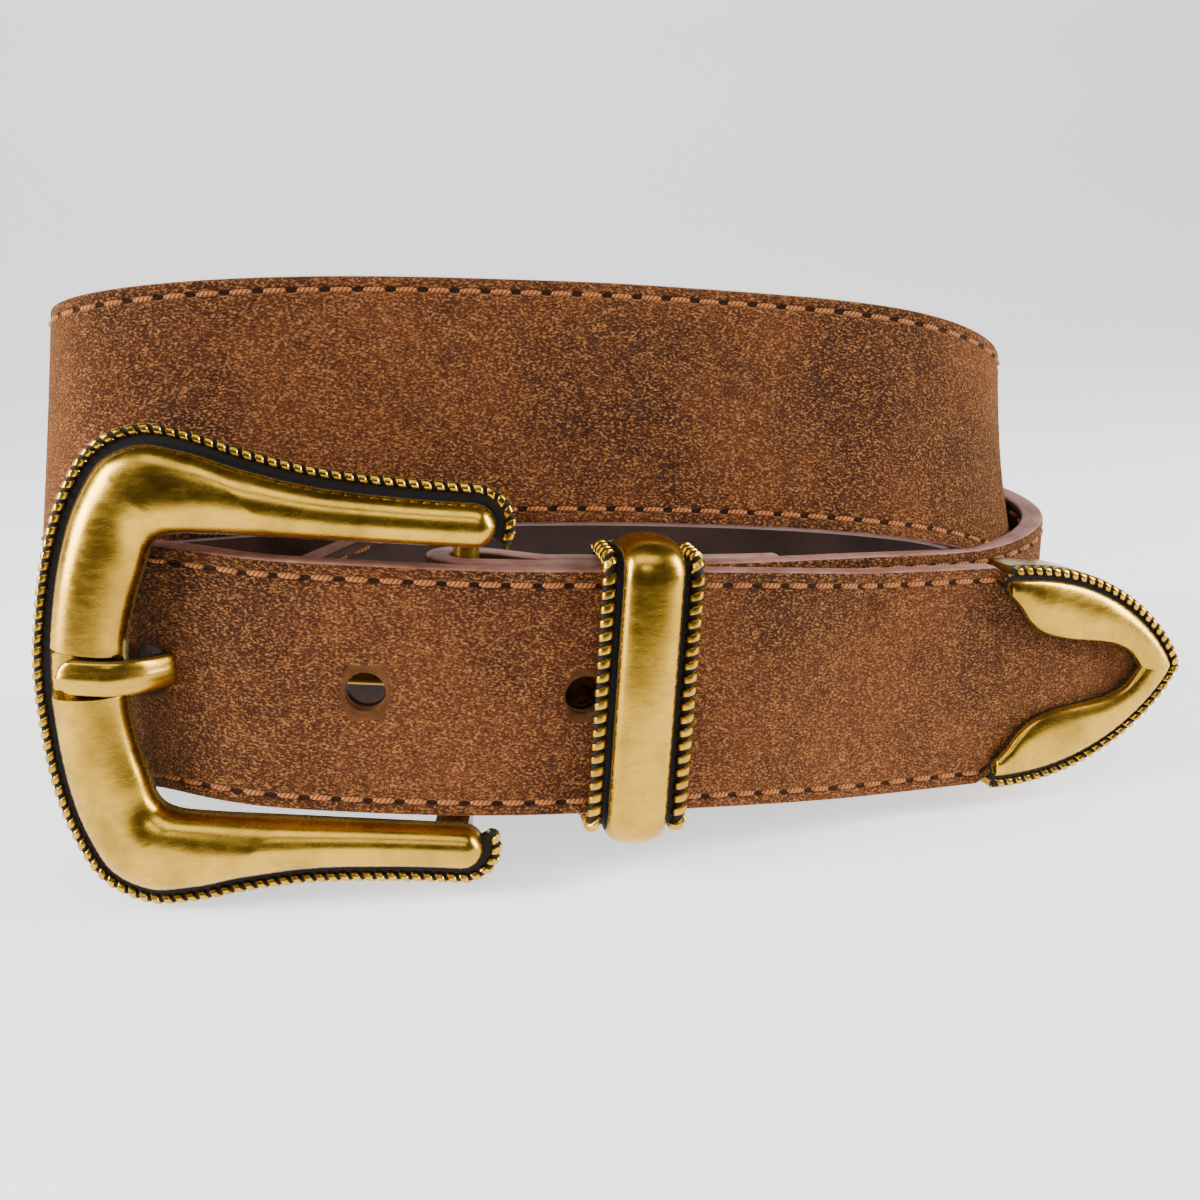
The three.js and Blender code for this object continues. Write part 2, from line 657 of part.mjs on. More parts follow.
function prongSolid() {
  const curve = new THREE.CatmullRomCurve3(PRONG_WAY.map(row => (
    new THREE.Vector3(-row.along, 0, row.out)
  )), false, 'centripetal');
  const steps = 18;
  const up = new THREE.Vector3(0, 1, 0);
  const rings = [];
  for (let i = 0; i <= steps; i += 1) {
    const share = i / steps;
    const centre = curve.getPointAt(share);
    const along = curve.getTangentAt(share);
    const out = up.clone().cross(along).normalize();
    if (out.z < 0) out.negate();
    const end = Math.min(1, Math.sqrt(Math.max(0, (1 - share) / 0.05)) * 0.75 + 0.25);
    const half = PRONG_WIDTH / 2 * end;
    const thin = PRONG_THICKNESS / 2;
    const corner = (y, z) => centre.clone().addScaledVector(up, y).addScaledVector(out, z);
    rings.push([
      corner(-half * 0.85, -thin), corner(half * 0.85, -thin), corner(half, 0),
      corner(half * 0.75, thin * 0.75), corner(0, thin), corner(-half * 0.75, thin * 0.75), corner(-half, 0),
    ]);
  }
  const eyeInner = BAR_RADIUS + PRONG_CLEARANCE;
  const eyeOuter = eyeInner + PRONG_EYE_WALL;
  const profile = [
    new THREE.Vector2(eyeInner, -PRONG_WIDTH / 2),
    new THREE.Vector2(eyeOuter, -PRONG_WIDTH / 2),
    new THREE.Vector2(eyeOuter, PRONG_WIDTH / 2),
    new THREE.Vector2(eyeInner, PRONG_WIDTH / 2),
    new THREE.Vector2(eyeInner, -PRONG_WIDTH / 2),
  ];
  const eye = toSolid(new THREE.LatheGeometry(profile, 12));
  const boreRod = rod(
    new THREE.Vector3(0, -PRONG_WIDTH, 0),
    new THREE.Vector3(0, PRONG_WIDTH, 0),
    eyeInner,
    16,
  );
  return join([loft(rings).subtract(boreRod), eye]);
}

// Room for the prong's eye in the folded chape
function prongSlot() {
  const half = PRONG_WIDTH / 2 + PRONG_CLEARANCE;
  const outline = [
    new THREE.Vector2(-FOLD_FRONT * 2.2, -half),
    new THREE.Vector2(FOLD_FRONT, -half),
    new THREE.Vector2(FOLD_FRONT, half),
    new THREE.Vector2(-FOLD_FRONT * 2.2, half),
  ];
  return extruded(outline, -FOLD_FRONT - 1, FOLD_FRONT + 0.2);
}

// Points round the keeper's inner path, with the long sides cut into short runs
const KEEPER_RUN = 8;

function keeperPoints(path) {
  const corners = path.getPoints(3);
  const points = [];
  corners.forEach((point, i) => {
    const next = corners[(i + 1) % corners.length];
    const gap = point.distanceTo(next);
    const pieces = Math.max(1, Math.round(gap / KEEPER_RUN));
    if (gap < 1e-6) return;
    for (let k = 0; k < pieces; k += 1) points.push(point.clone().lerp(next, k / pieces));
  });
  return points;
}

// The keeper's own frame: origin between the plies, x along the strap, y up, z out
function keeperSolid() {
  const front = LAYER_PITCH + STRAP_THICKNESS / 2 + KEEPER_CLEARANCE;
  const chape = chapePlace(KEEPER_TURN - 2 * FULL_TURN);
  const first = routePlace(KEEPER_TURN - 2 * FULL_TURN);
  const chapeDepth = chape.point.distanceTo(first.point) + STRAP_THICKNESS / 2 * chape.thick;
  const back = -(chapeDepth + KEEPER_CLEARANCE);
  const half = STRAP_WIDTH / 2 + KEEPER_CLEARANCE;
  const path = new THREE.Path();
  path.moveTo(half - KEEPER_CORNER, back);
  path.absarc(half - KEEPER_CORNER, back + KEEPER_CORNER, KEEPER_CORNER, -Math.PI / 2, 0, false);
  path.absarc(half - KEEPER_CORNER, front - KEEPER_CORNER, KEEPER_CORNER, 0, Math.PI / 2, false);
  path.absarc(-half + KEEPER_CORNER, front - KEEPER_CORNER, KEEPER_CORNER, Math.PI / 2, Math.PI, false);
  path.absarc(-half + KEEPER_CORNER, back + KEEPER_CORNER, KEEPER_CORNER, Math.PI, Math.PI * 1.5, false);
  path.closePath();
  const sections = keeperPoints(path).map(point => ({
    y: point.x,
    z: point.y,
    c: (point.y - (front + back) / 2) / ((front - back) / 2),
  }));
  const steps = sections.length;
  const outAt = i => {
    const before = sections[(i + steps - 1) % steps];
    const after = sections[(i + 1) % steps];
    return new THREE.Vector3(0, after.z - before.z, before.y - after.y).normalize();
  };
  const faceShare = share => 0.15 + 0.85 * smooth(share, -0.9, 0.25);
  const place = (i, x, lift) => {
    const { y, z } = sections[i];
    return new THREE.Vector3(x, y, z).addScaledVector(outAt(i), lift);
  };
  const band = KEEPER_BAND / 2;
  const flange = KEEPER_FLANGE / 2 - KEEPER_ROPE_RADIUS;
  const rings = sections.map(({ c }, i) => {
    const rise = KEEPER_RISE * faceShare(c);
    return [
      place(i, -flange, 0), place(i, -flange, KEEPER_WALL), place(i, -band, KEEPER_WALL),
      place(i, -band * 0.93, KEEPER_WALL + rise * 0.5), place(i, -band * 0.5, KEEPER_WALL + rise * 0.9),
      place(i, 0, KEEPER_WALL + rise),
      place(i, band * 0.5, KEEPER_WALL + rise * 0.9), place(i, band * 0.93, KEEPER_WALL + rise * 0.5),
      place(i, band, KEEPER_WALL), place(i, flange, KEEPER_WALL), place(i, flange, 0),
    ];
  });
  const parts = [loft(rings, true)];
  const ordered = sections.map((row, i) => i).filter(i => sections[i].c > -0.4);
  for (const side of [-1, 1]) {
    const points = ordered.map(i => place(i, side * flange, KEEPER_WALL));
    const outward = share => outAt(ordered[Math.min(Math.round(share * (ordered.length - 1)), ordered.length - 1)]);
    parts.push(rope(points, KEEPER_ROPE_RADIUS, KEEPER_ROPE_PITCH, outward));
  }
  return join(parts);
}

// The tip's own frame: origin at its mouth on the strap's middle line, x to the point
const TIP_HALF_DEPTH = STRAP_THICKNESS / 2 + TIP_CLEARANCE;
// The cut-out's upper edge, shares of the tip's length and half width
const TIP_CUTOUT = [
  { along: -0.02, height: 0.78 },
  { along: 0.06, height: 0.64 },
  { along: 0.12, height: 0.5 },
  { along: 0.2, height: 0.39 },
  { along: 0.33, height: 0.32 },
  { along: 0.47, height: 0.285 },
  { along: 0.6, height: 0.24 },
  { along: 0.7, height: 0.15 },
  { along: 0.77, height: 0.0 },
];

function tipOutline(inset, steps) {
  const points = [];
  for (let i = 0; i <= steps; i += 1) {
    const share = Math.sin(Math.PI / 2 * i / steps);
    const half = TIP_HALF_WIDTH - inset;
    points.push(new THREE.Vector2(share * (TIP_LENGTH - inset), half * archShare(share)));
  }
  return points;
}

function closedByMirror(half) {
  const lower = half.slice(0, -1).reverse().map(point => new THREE.Vector2(point.x, -point.y));
  return [...half, ...lower];
}

function tipSolid() {
  const steps = 11;
  const outer = closedByMirror(tipOutline(0, steps));
  const cavity = closedByMirror(tipOutline(TIP_WALL, steps));
  cavity.forEach((point, i) => {
    if (i === 0 || i === cavity.length - 1) point.x = -1;
  });
  const shell = extruded(outer, -TIP_HALF_DEPTH - TIP_WALL, TIP_HALF_DEPTH + TIP_WALL);
  const room = extruded(cavity, -TIP_HALF_DEPTH, TIP_HALF_DEPTH);
  const cutCurve = new THREE.SplineCurve(TIP_CUTOUT.map(row => (
    new THREE.Vector2(row.along * TIP_LENGTH, row.height * TIP_HALF_WIDTH)
  )));
  const cutHalf = cutCurve.getSpacedPoints(steps);
  const cutout = extruded(closedByMirror(cutHalf), 0, TIP_HALF_DEPTH + TIP_WALL + TIP_RISE + 1);
  const border = 2 * ROPE_RADIUS + GROOVE * 0.5;
  const domeOuter = closedByMirror(tipOutline(border, steps));
  const domeInner = closedByMirror(cutCurve.getSpacedPoints(steps).map(point => (
    new THREE.Vector2(Math.max(point.x, 0.05), point.y)
  )));
  const front = TIP_HALF_DEPTH + TIP_WALL;
  const dome = ridge(domeOuter, domeInner, TIP_HALF_DEPTH + 0.2, front, TIP_RISE, 4);
  const rim = closedByMirror(tipOutline(ROPE_RADIUS, steps)).map(point => (
    new THREE.Vector3(point.x, point.y, front)
  ));
  const rimRope = rope(rim, ROPE_RADIUS, ROPE_PITCH, () => new THREE.Vector3(0, 0, 1));
  return join([shell.subtract(room), dome]).subtract(cutout).add(rimRope).subtract(room);
}

// Finishes
const suede = new THREE.MeshStandardMaterial({ color: 0x8a5226, roughness: 0.95, metalness: 0 });
const liningLeather = new THREE.MeshStandardMaterial({ color: 0x3a2622, roughness: 0.6, metalness: 0 });
const brass = new THREE.MeshStandardMaterial({ color: 0xb8923a, roughness: 0.35, metalness: 1 });

function piece(name, solid, material, matrix) {
  const geometry = fromSolid(solid);
  if (matrix) geometry.applyMatrix4(matrix);
  const mesh = new THREE.Mesh(geometry, material);
  mesh.name = name;
  return mesh;
}

function placedAt(place, point = place.point) {
  return frameMatrix(point, place.along, place.up, place.out);
}

// The turn whose point lies a given way along the coil from another
function turnAfter(turn, distance) {
  const step = Math.sign(distance) * 0.25;
  let at = turn;
  let travelled = 0;
  let previous = routePlace(turn).point;
  while (travelled < Math.abs(distance)) {
    at += step;
    const point = routePlace(at).point;
    travelled += point.distanceTo(previous);
    previous = point;
  }
  return at;
}

// The turn of the last layer where the prong comes out through the strap
const PRONG_HOLE_TURN = (() => {
  const exit = new THREE.Vector3(-PRONG_RISE, 0, FOLD_RADIUS).applyMatrix4(BUCKLE_FRAME);
  let best = 2 * FULL_TURN + HEEL_TURN;
  const apart = turn => Math.hypot(routePlace(turn).point.x - exit.x, routePlace(turn).point.y - exit.y);
  for (let turn = best; turn > best - 60; turn -= 0.25) {
    if (apart(turn) < apart(best)) best = turn;
  }
  return best;
})();

function beltPlies() {
  const places = beltPlaces();
  const half = STRAP_THICKNESS / 2;
  let suedePly = plySolid(places, half - SUEDE_THICKNESS, half);
  let liningPly = plySolid(places, -half + LINING_THICKNESS, -half);
  const cutters = [];
  for (let k = -HOLES_BEHIND_PRONG; k < HOLE_COUNT - HOLES_BEHIND_PRONG; k += 1) {
    const turn = k === 0 ? PRONG_HOLE_TURN : turnAfter(PRONG_HOLE_TURN, k * HOLE_PITCH);
    const place = framedAt(routePlace, turn, 0.5);
    cutters.push(k === 0
      ? holeCutter(place, PRONG_WIDTH / 2 + PRONG_HOLE_ROOM, PRONG_HOLE_STRETCH)
      : holeCutter(place, HOLE_DIAMETER / 2, 0));
  }
  cutters.push(prongSlot().transform(Array.from(BUCKLE_FRAME.elements)));
  for (const cutter of cutters) {
    suedePly = suedePly.subtract(cutter);
    liningPly = liningPly.subtract(cutter);
  }
  return { suedePly, liningPly };
}

const belt = new THREE.Group();
const { suedePly, liningPly } = beltPlies();
belt.add(piece('strap_face', suedePly, suede));
belt.add(piece('strap_lining', liningPly, liningLeather));
belt.add(piece('buckle_frame', buckleSolid(), brass, BUCKLE_FRAME));
belt.add(piece('prong', prongSolid(), brass, BUCKLE_FRAME));
const keeperPlace = framedAt(routePlace, KEEPER_TURN, 0.5);
const keeperOrigin = keeperPlace.point.clone().addScaledVector(keeperPlace.out, -LAYER_PITCH);
belt.add(piece('keeper_loop', keeperSolid(), brass, placedAt(keeperPlace, keeperOrigin)));
const tipPlace = framedAt(tailPlace, TAIL_MOUTH, 0.5);
belt.add(piece('belt_tip', tipSolid(), brass, placedAt(tipPlace)));

// The belt stands on the ground plane with its middle over the origin
const bounds = new THREE.Box3().setFromObject(belt);
const centre = bounds.getCenter(new THREE.Vector3());
belt.position.set(-centre.x, -centre.y, -bounds.min.z);
belt.updateMatrixWorld(true);

export default belt;
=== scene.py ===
"""Looks of a western belt: suede strap, stitches, antique brass buckle, keeper and tip."""

import bpy
import numpy as np
from bpy.props import FloatProperty, FloatVectorProperty
from mathutils import Matrix


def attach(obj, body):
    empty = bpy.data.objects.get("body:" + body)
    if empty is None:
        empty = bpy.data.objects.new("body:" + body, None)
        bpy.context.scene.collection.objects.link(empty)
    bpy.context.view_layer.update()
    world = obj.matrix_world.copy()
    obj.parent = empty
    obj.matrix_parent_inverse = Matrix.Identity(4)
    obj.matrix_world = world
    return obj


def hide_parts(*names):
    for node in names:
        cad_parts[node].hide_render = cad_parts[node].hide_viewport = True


bl_info = {
    "name": "Buckled Western Belt",
    "version": (1, 0, 0),
    "blender": (4, 5, 0),
    "location": "View3D > Sidebar > Belt",
    "description": "Makes the visible pieces of a buckled suede belt round its packed solids",
    "category": "Add Mesh",
}

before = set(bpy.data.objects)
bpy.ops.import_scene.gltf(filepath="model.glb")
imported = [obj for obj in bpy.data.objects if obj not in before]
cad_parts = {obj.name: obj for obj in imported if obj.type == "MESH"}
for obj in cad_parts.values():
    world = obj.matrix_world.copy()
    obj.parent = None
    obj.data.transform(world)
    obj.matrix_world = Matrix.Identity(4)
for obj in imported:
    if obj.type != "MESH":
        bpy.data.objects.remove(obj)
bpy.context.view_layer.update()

# Everything below is in millimetres, in the coil's own frame, until placed() turns it to metres.
MM = 0.001
SHARP_ANGLE = 38.0
COIL_ORIGIN = np.array([-16.893, 4.244, 1.275])

STRAP_WIDTH = 38.0
SUEDE_THICKNESS = 2.0
LINING_THICKNESS = 1.5
PLY_GAP = 0.3
STRAP_THICKNESS = SUEDE_THICKNESS + PLY_GAP + LINING_THICKNESS
HALF_THICKNESS = STRAP_THICKNESS / 2
GLUE_LINE = 0.04
EDGE_ROUND = 0.55
CURL_STEPS = 4
EDGE_SLOT = 1

STITCH_INSET = 2.2
STITCH_ROW = STRAP_WIDTH / 2 - STITCH_INSET
STITCH_GROOVE = 0.22
STITCH_COVER = 0.76
STITCH_RADIUS = 0.42
STITCH_LIFT = 0.16
STITCH_DIVE = 0.5

COIL_REACH_RIGHT = 93.8
COIL_REACH_LEFT = 75.0
COIL_HALF_DEPTH = 37.2
COIL_SQUARENESS = 2.3
LAYER_GAP = 0.6
LAYER_PITCH = STRAP_THICKNESS + LAYER_GAP
HEEL_TURN = -98.0
CHAPE_END_TURN = -70.0
TAIL_TURN = 658.0
FULL_TURN = 360.0
FOLD_BLEND = 15.0
CHAPE_SKIVE = 0.55
SLOPE_REACH = 6.0
FOLD_STEPS = 17
FINE_STEPS = 2400

# Turn in degrees, layer, lift of the lower edge as a share of the width, lean in degrees
ROUTE = np.array([
    (-112, 0, 0.351, 0), (-98, 0, 0.309, 0), (-84, 0, 0.251, 0), (-60, -0.65, 0.165, 0),
    (-35, -0.2, 0.109, 0), (0, 0.36, 0.194, 0), (30, 0.3, 0.28, 0), (90, 0, 0.56, 2),
    (135, 0, 0.98, 5), (180, -0.42, 1.258, 8), (225, -1.29, 1.394, 13),
    (262, -3.16, 1.388, 16.7), (288, -3.16, 1.292, 16.7), (311, -1.95, 1.179, 13),
    (360, -1.43, 0.81, 5), (405, -1.6, 0.58, 5), (450, -1.8, 0.28, 10), (485, -1.6, 0, 17),
    (505, -1.3, -0.03, 17), (540, -0.5, 0.12, 8), (575, 0.5, 0.42, 1), (587, 0.85, 0.442, 0),
    (596, 1, 0.396, 0), (610, 1, 0.356, 0), (622, 1, 0.309, 0), (636, 1, 0.251, 0),
    (658, 0.3, 0.127, 0),
])

TAIL_LENGTH = 60.0
TAIL_BEND = -3.9
TAIL_SETTLE = 0.3
TAIL_LIFT_MOUTH = 0.076
HOLE_DIAMETER = 6.0
HOLE_PITCH = 32.0
HOLE_COUNT = 5
HOLES_BEHIND_PRONG = 2
PRONG_HOLE_STRETCH = 3.0
PRONG_HOLE_ROOM = 0.8
PRONG_SLOT_ROOM = 0.3
TAIL_POINT_ROOM = 0.5
ARCH_POWER = 2.3
ARCH_FULLNESS = 0.8

BUCKLE_LENGTH = 69.0
BUCKLE_HALF_HEIGHT = 36.2
BUCKLE_ARM_END = 8.0
BUCKLE_YAW = 6.8
BUCKLE_PLATE = 1.4
BUCKLE_RISE = 4.6
STRAP_SIT = 1.2
BAR_RADIUS = 2.0
BAR_CLEARANCE = 0.3
FRAME_CLEARANCE = 0.5
FRAME_SINK = 0.35
LUG_LENGTH = 5.0
GROOVE = 1.1
FOLD_RADIUS = BAR_RADIUS + BAR_CLEARANCE + HALF_THICKNESS
FOLD_FRONT = FOLD_RADIUS + HALF_THICKNESS
FRAME_BACK = FOLD_FRONT + LAYER_PITCH + FRAME_CLEARANCE - STRAP_THICKNESS * FRAME_SINK
PLATE_FRONT = FRAME_BACK + BUCKLE_PLATE
CASTING_OVERLAP = 0.2
PLAIN_RECESS = 0.45
PLATE_SHY = 0.6
BEVEL = 0.18
FRAME_STATIONS = 360
CAP_STEPS = 14
RIDGE_STEPS = 20
RIDGE_OUTER_SHADE = 1.15
RIDGE_INNER_SHADE = 0.55
RIDGE_POLISH = 2.6

# The buckle's outline and its window, from the middle of the left bar to the upper arm's end:
# share of the length back from the arm's end, share of the half height
FRAME_EDGE = np.array([
    (1, 0), (0.99, 0.25), (0.968, 0.5), (0.93, 0.72), (0.868, 0.91), (0.77, 1),
    (0.665, 0.983), (0.55, 0.925), (0.405, 0.873), (0.23, 0.85), (0.09, 0.845),
])
WINDOW_EDGE = np.array([
    (0.805, 0), (0.801, 0.15), (0.785, 0.3), (0.765, 0.42), (0.745, 0.53), (0.705, 0.578),
    (0.62, 0.588), (0.5, 0.588), (0.38, 0.588), (0.23, 0.588), (0.09, 0.588),
])

# The border's rope: radius in mm, then its strand and core as shares of the radius, but for
# the strand's length, a share of the pitch
ROPE_RADIUS = 0.85
ROPE_ARM = 0.36
ROPE_STRAND_HIGH = 0.64
ROPE_STRAND_LONG = 0.33
ROPE_CORE_HIGH = 0.5
ROPE_CORE_WIDE = 0.7
ROWS_PER_PITCH = 14

PRONG_WIDTH = 5.2
PRONG_THICKNESS = 2.6
PRONG_RISE = 44.0
PRONG_REST = 2.4
PRONG_SLANT = 0.8
PRONG_EYE_WALL = 1.5
PRONG_NOSE = 2.4
EYE_STEPS = 40

KEEPER_TURN = 636.2
KEEPER_BAND = 9.2
KEEPER_FLANGE = 15.6
KEEPER_WALL = 1.1
KEEPER_RISE = 3.0
KEEPER_CLEARANCE = 0.8
KEEPER_CORNER = 1.2
KEEPER_ROPE_RADIUS = 1.25
KEEPER_SKEW = 5.0
KEEPER_SHIFT = -0.5
KEEPER_STEPS = 19

TIP_LENGTH = 36.0
TIP_WALL = 1.2
TIP_RISE = 1.7
TIP_CLEARANCE = 0.3
TIP_END_ROOM = 2.0
TIP_OVERSTAND = 0.3
TIP_SHOULDER = 2.0
TIP_STATIONS = 90
TAIL_MOUTH = TAIL_LENGTH - TIP_LENGTH + TIP_WALL + TIP_END_ROOM
TIP_HALF_WIDTH = STRAP_WIDTH / 2 + TIP_OVERSTAND
TIP_HALF_DEPTH = HALF_THICKNESS + TIP_CLEARANCE
TONGUE_HALF_WIDTH = TIP_HALF_WIDTH - TIP_WALL - TIP_CLEARANCE
# Upper edge of the cut-out in the tip's front: shares of its length and of its half width
TIP_CUTOUT = np.array([
    (-0.02, 0.78), (0.06, 0.64), (0.12, 0.5), (0.2, 0.39), (0.33, 0.32), (0.47, 0.285),
    (0.6, 0.24), (0.7, 0.15), (0.77, 0.0),
])

# Camera: place in mm in the row's frame, turn from +Y towards +X, pitch down and roll in degrees
CAMERA_PLACE = (-43.8, -223.1, 94.1)
CAMERA_TURN = 10.38
CAMERA_PITCH = 14.72
CAMERA_ROLL = -1.93
CAMERA_FOCUS_PX = 1321.0
PHOTO_PX = 1200.0
SENSOR_MM = 36.0

# Soft boxes: place and size in metres, power in watts
LIGHT_AIM = (0.0, -0.02, 0.045)
LIGHTS = (
    ("left_box", (-0.72, -0.2, 0.3), (0.25, 0.6), 14.0),
    ("right_box", (0.72, -0.22, 0.28), (0.25, 0.6), 12.5),
    ("top_box", (-0.12, -0.42, 0.66), (0.7, 0.3), 2.0),
    ("front_box", (-0.15, -0.85, 0.5), (0.3, 0.2), 0.7),
)
# The paper's section: distance back and height in metres
SWEEP = ((-3.0, 0), (0.6, 0), (1.2, 0.05), (1.6, 0.3), (1.75, 0.9), (1.8, 3.0))
SWEEP_HALF_WIDTH = 4.0
SWEEP_GAP = 0.0002
AIR_STRENGTH = 0.12


def unit(vectors):
    """Each row scaled to length one."""
    return vectors / np.linalg.norm(vectors, axis=-1, keepdims=True)


def smoothstep(value, low, high):
    """0 below low, 1 above high, and a soft rise between them."""
    share = np.clip((value - low) / (high - low), 0, 1)
    return share * share * (3 - 2 * share)


def signed_power(value, power):
    """The size raised to a power, with the sign kept."""
    return np.sign(value) * np.abs(value) ** power


def circle(count):
    """Evenly spaced angles once round."""
    return 2 * np.pi * np.arange(count) / count


def placed(points):
    """Coil-frame millimetres to the row's frame in metres."""
    return (np.asarray(points) + COIL_ORIGIN) * MM


def travel(points):
    """Distance gone along a run of points, starting at 0."""
    steps = np.linalg.norm(np.diff(points, axis=0), axis=1)
    return np.concatenate([[0.0], np.cumsum(steps)])


def sampled(table, way, marks):
    """Rows of a table at marks along the way, straight between its own rows."""
    return np.stack([np.interp(marks, way, column) for column in table.T], axis=1)


def resampled(points, step=None, count=None):
    """The same run with evenly spaced points, straight between the old ones."""
    way = travel(points)
    pieces = count if count else max(2, int(np.ceil(way[-1] / step)))
    return sampled(points, way, np.linspace(0, way[-1], pieces + 1))


def heading(points):
    """The way that a run goes at each of its points."""
    return unit(np.gradient(points, axis=0))


def swept(points, *moves):
    """Rings: each point moved along each (axes, offsets), one offset for each corner."""
    rings = points[:, None, :]
    for axes, offsets in moves:
        rings = rings + np.broadcast_to(axes, points.shape)[:, None, :] * offsets[..., None]
    return rings


def spline(knots, per_span=24, centripetal=False):
    """Catmull-Rom curve through the knots, at even spacing of its parameter.

    Each span is the cubic that leaves a knot along the line between its neighbours.
    """
    knots = np.asarray(knots, float)
    first = knots[:1] if not centripetal else 2 * knots[:1] - knots[1:2]
    last = knots[-1:] if not centripetal else 2 * knots[-1:] - knots[-2:-1]
    wide = np.concatenate([first, knots, last])
    t = np.linspace(0, 1, per_span, endpoint=False)[None, :, None]
    p0, p1, p2, p3 = (wide[k:len(wide) - 3 + k, None, :] for k in range(4))
    if centripetal:
        reach = [np.maximum(np.linalg.norm(b - a, axis=2, keepdims=True) ** 0.5, 1e-4)
                 for a, b in ((p0, p1), (p1, p2), (p2, p3))]
        v0 = ((p1 - p0) / reach[0] - (p2 - p0) / (reach[0] + reach[1])
              + (p2 - p1) / reach[1]) * reach[1]
        v1 = ((p2 - p1) / reach[1] - (p3 - p1) / (reach[1] + reach[2])
              + (p3 - p2) / reach[2]) * reach[1]
    else:
        v0 = (p2 - p0) / 2
        v1 = (p3 - p1) / 2
    curve = ((2 * p1 - 2 * p2 + v0 + v1) * t**3
             + (-3 * p1 + 3 * p2 - 2 * v0 - v1) * t**2 + v0 * t + p1)
    return np.concatenate([curve.reshape(-1, knots.shape[1]), knots[-1:]])


def plan_point(turn):
    """Superellipse: the half axes times the signed cosine and sine, each to the power 2/n."""
    angle = np.radians(np.asarray(turn, float))
    power = 2 / COIL_SQUARENESS
    c, s = np.cos(angle), np.sin(angle)
    return np.stack([
        np.where(c > 0, COIL_REACH_RIGHT, COIL_REACH_LEFT) * signed_power(c, power),
        COIL_HALF_DEPTH * signed_power(s, power),
        np.zeros_like(angle),
    ], axis=-1)


def plan_tangent(turn):
    """The way the coil runs at a turn, in plan."""
    turn = np.asarray(turn, float)
    return unit(plan_point(turn + 0.5) - plan_point(turn - 0.5))


def plan_normal(turn):
    """The coil's outward side at a turn, in plan."""
    tangent = plan_tangent(turn)
    return np.stack([tangent[..., 1], -tangent[..., 0], np.zeros(tangent.shape[:-1])], axis=-1)


def route_values(turn):
    """Layer, lift and lean at a turn: a cubic through the rows of ROUTE.

    Between two rows the slope at each end is that of the neighbours, weighted by the spans.
    """
    turn = np.asarray(turn, float)
    rows = ROUTE[:, 0]
    last = len(rows) - 1
    right = np.clip(np.searchsorted(rows, turn, side="right"), 1, last)
    left = right - 1
    before = np.where(left > 0, left - 1, right)
    after = np.where(right < last, right + 1, left)
    half = (rows[right] - rows[left]) / 2
    w_before = half / (rows[left] - rows[before])
    w_after = half / (rows[after] - rows[right])
    p = (turn - rows[left]) / (2 * half)
    weights = (
        (before, -w_before * p**3 + 2 * w_before * p**2 - w_before * p),
        (left, (1 + w_before) * p**3 + (-1.5 - 2 * w_before) * p**2 + (-0.5 + w_before) * p + 1),
        (right, (-1 - w_after) * p**3 + (1.5 + w_after) * p**2 + 0.5 * p),
        (after, w_after * p**3 - w_after * p**2),
    )
    return sum(ROUTE[rows_at, 1:] * weight[..., None] for rows_at, weight in weights)


def centre_height(lift, lean):
    """Height of the strap's middle line over its lowest edge's lift."""
    tilt = np.radians(lean)
    return (lift * STRAP_WIDTH + STRAP_WIDTH / 2 * np.cos(tilt)
            + HALF_THICKNESS * np.sin(tilt))


def route_place(turn):
    """Middle line, outward side, lean and thickness share on the coil."""
    layer, lift, lean = np.moveaxis(route_values(turn), -1, 0)
    side = plan_normal(turn)
    point = plan_point(turn) + side * (layer * LAYER_PITCH)[..., None]
    point[..., 2] = centre_height(lift, lean)
    return point, side, lean, np.ones_like(lean)


def framed(point, side, lean, along):
    """Along, up and out axes: up crosses side with along, then both tip by the lean."""
    up = unit(np.cross(side, along))
    out = unit(np.cross(along, up))
    tilt = np.radians(lean)[..., None]
    tipped_up = up * np.cos(tilt) - out * np.sin(tilt)
    tipped_out = out * np.cos(tilt) + up * np.sin(tilt)
    return point, along, tipped_up, tipped_out


def framed_at(place, parameter, delta=0.5):
    """The frame of one place, with its direction from two close neighbours."""
    at = np.array([parameter])
    point, side, lean, _ = place(at)
    along = unit(place(at + delta)[0] - place(at - delta)[0])
    return [value[0] for value in framed(point, side, lean, along)]


HEEL_POINT, HEEL_ALONG, HEEL_UP, HEEL_OUT = framed_at(route_place, HEEL_TURN)
BAR_CENTRE = HEEL_POINT - HEEL_OUT * FOLD_RADIUS


def chape_place(turn):
    """The folded-back end: inside the first turn, drawing close to it and skived thin."""
    share = (turn - HEEL_TURN) / (CHAPE_END_TURN - HEEL_TURN)
    run = np.linalg.norm(plan_point(turn) - plan_point(HEEL_TURN), axis=-1)
    thick = 1 + (CHAPE_SKIVE - 1) * smoothstep(share, 0.2, 1)
    near = 2 * FOLD_RADIUS
    far = HALF_THICKNESS * (1 + thick) + PLY_GAP
    depth = near + (far - near) * smoothstep(run, 0, FOLD_BLEND)
    point, side, _, _ = route_place(turn)
    return point - side * depth[..., None], -side, np.zeros_like(depth), thick


def fold_place(angle):
    """Half a turn round the heel bar."""
    side = -HEEL_OUT * np.cos(angle)[:, None] - HEEL_ALONG * np.sin(angle)[:, None]
    point = BAR_CENTRE + side * FOLD_RADIUS
    return point, side, np.zeros_like(angle), np.ones_like(angle)


TAIL_START = route_place(np.array([TAIL_TURN]))[0][0]
TAIL_HEADING = plan_tangent(TAIL_TURN)


def turned(vector, angle):
    """A level vector turned about the upright axis."""
    c, s = np.cos(angle), np.sin(angle)
    return np.stack([vector[0] * c - vector[1] * s, vector[0] * s + vector[1] * c,
                     np.zeros_like(c)], axis=-1)


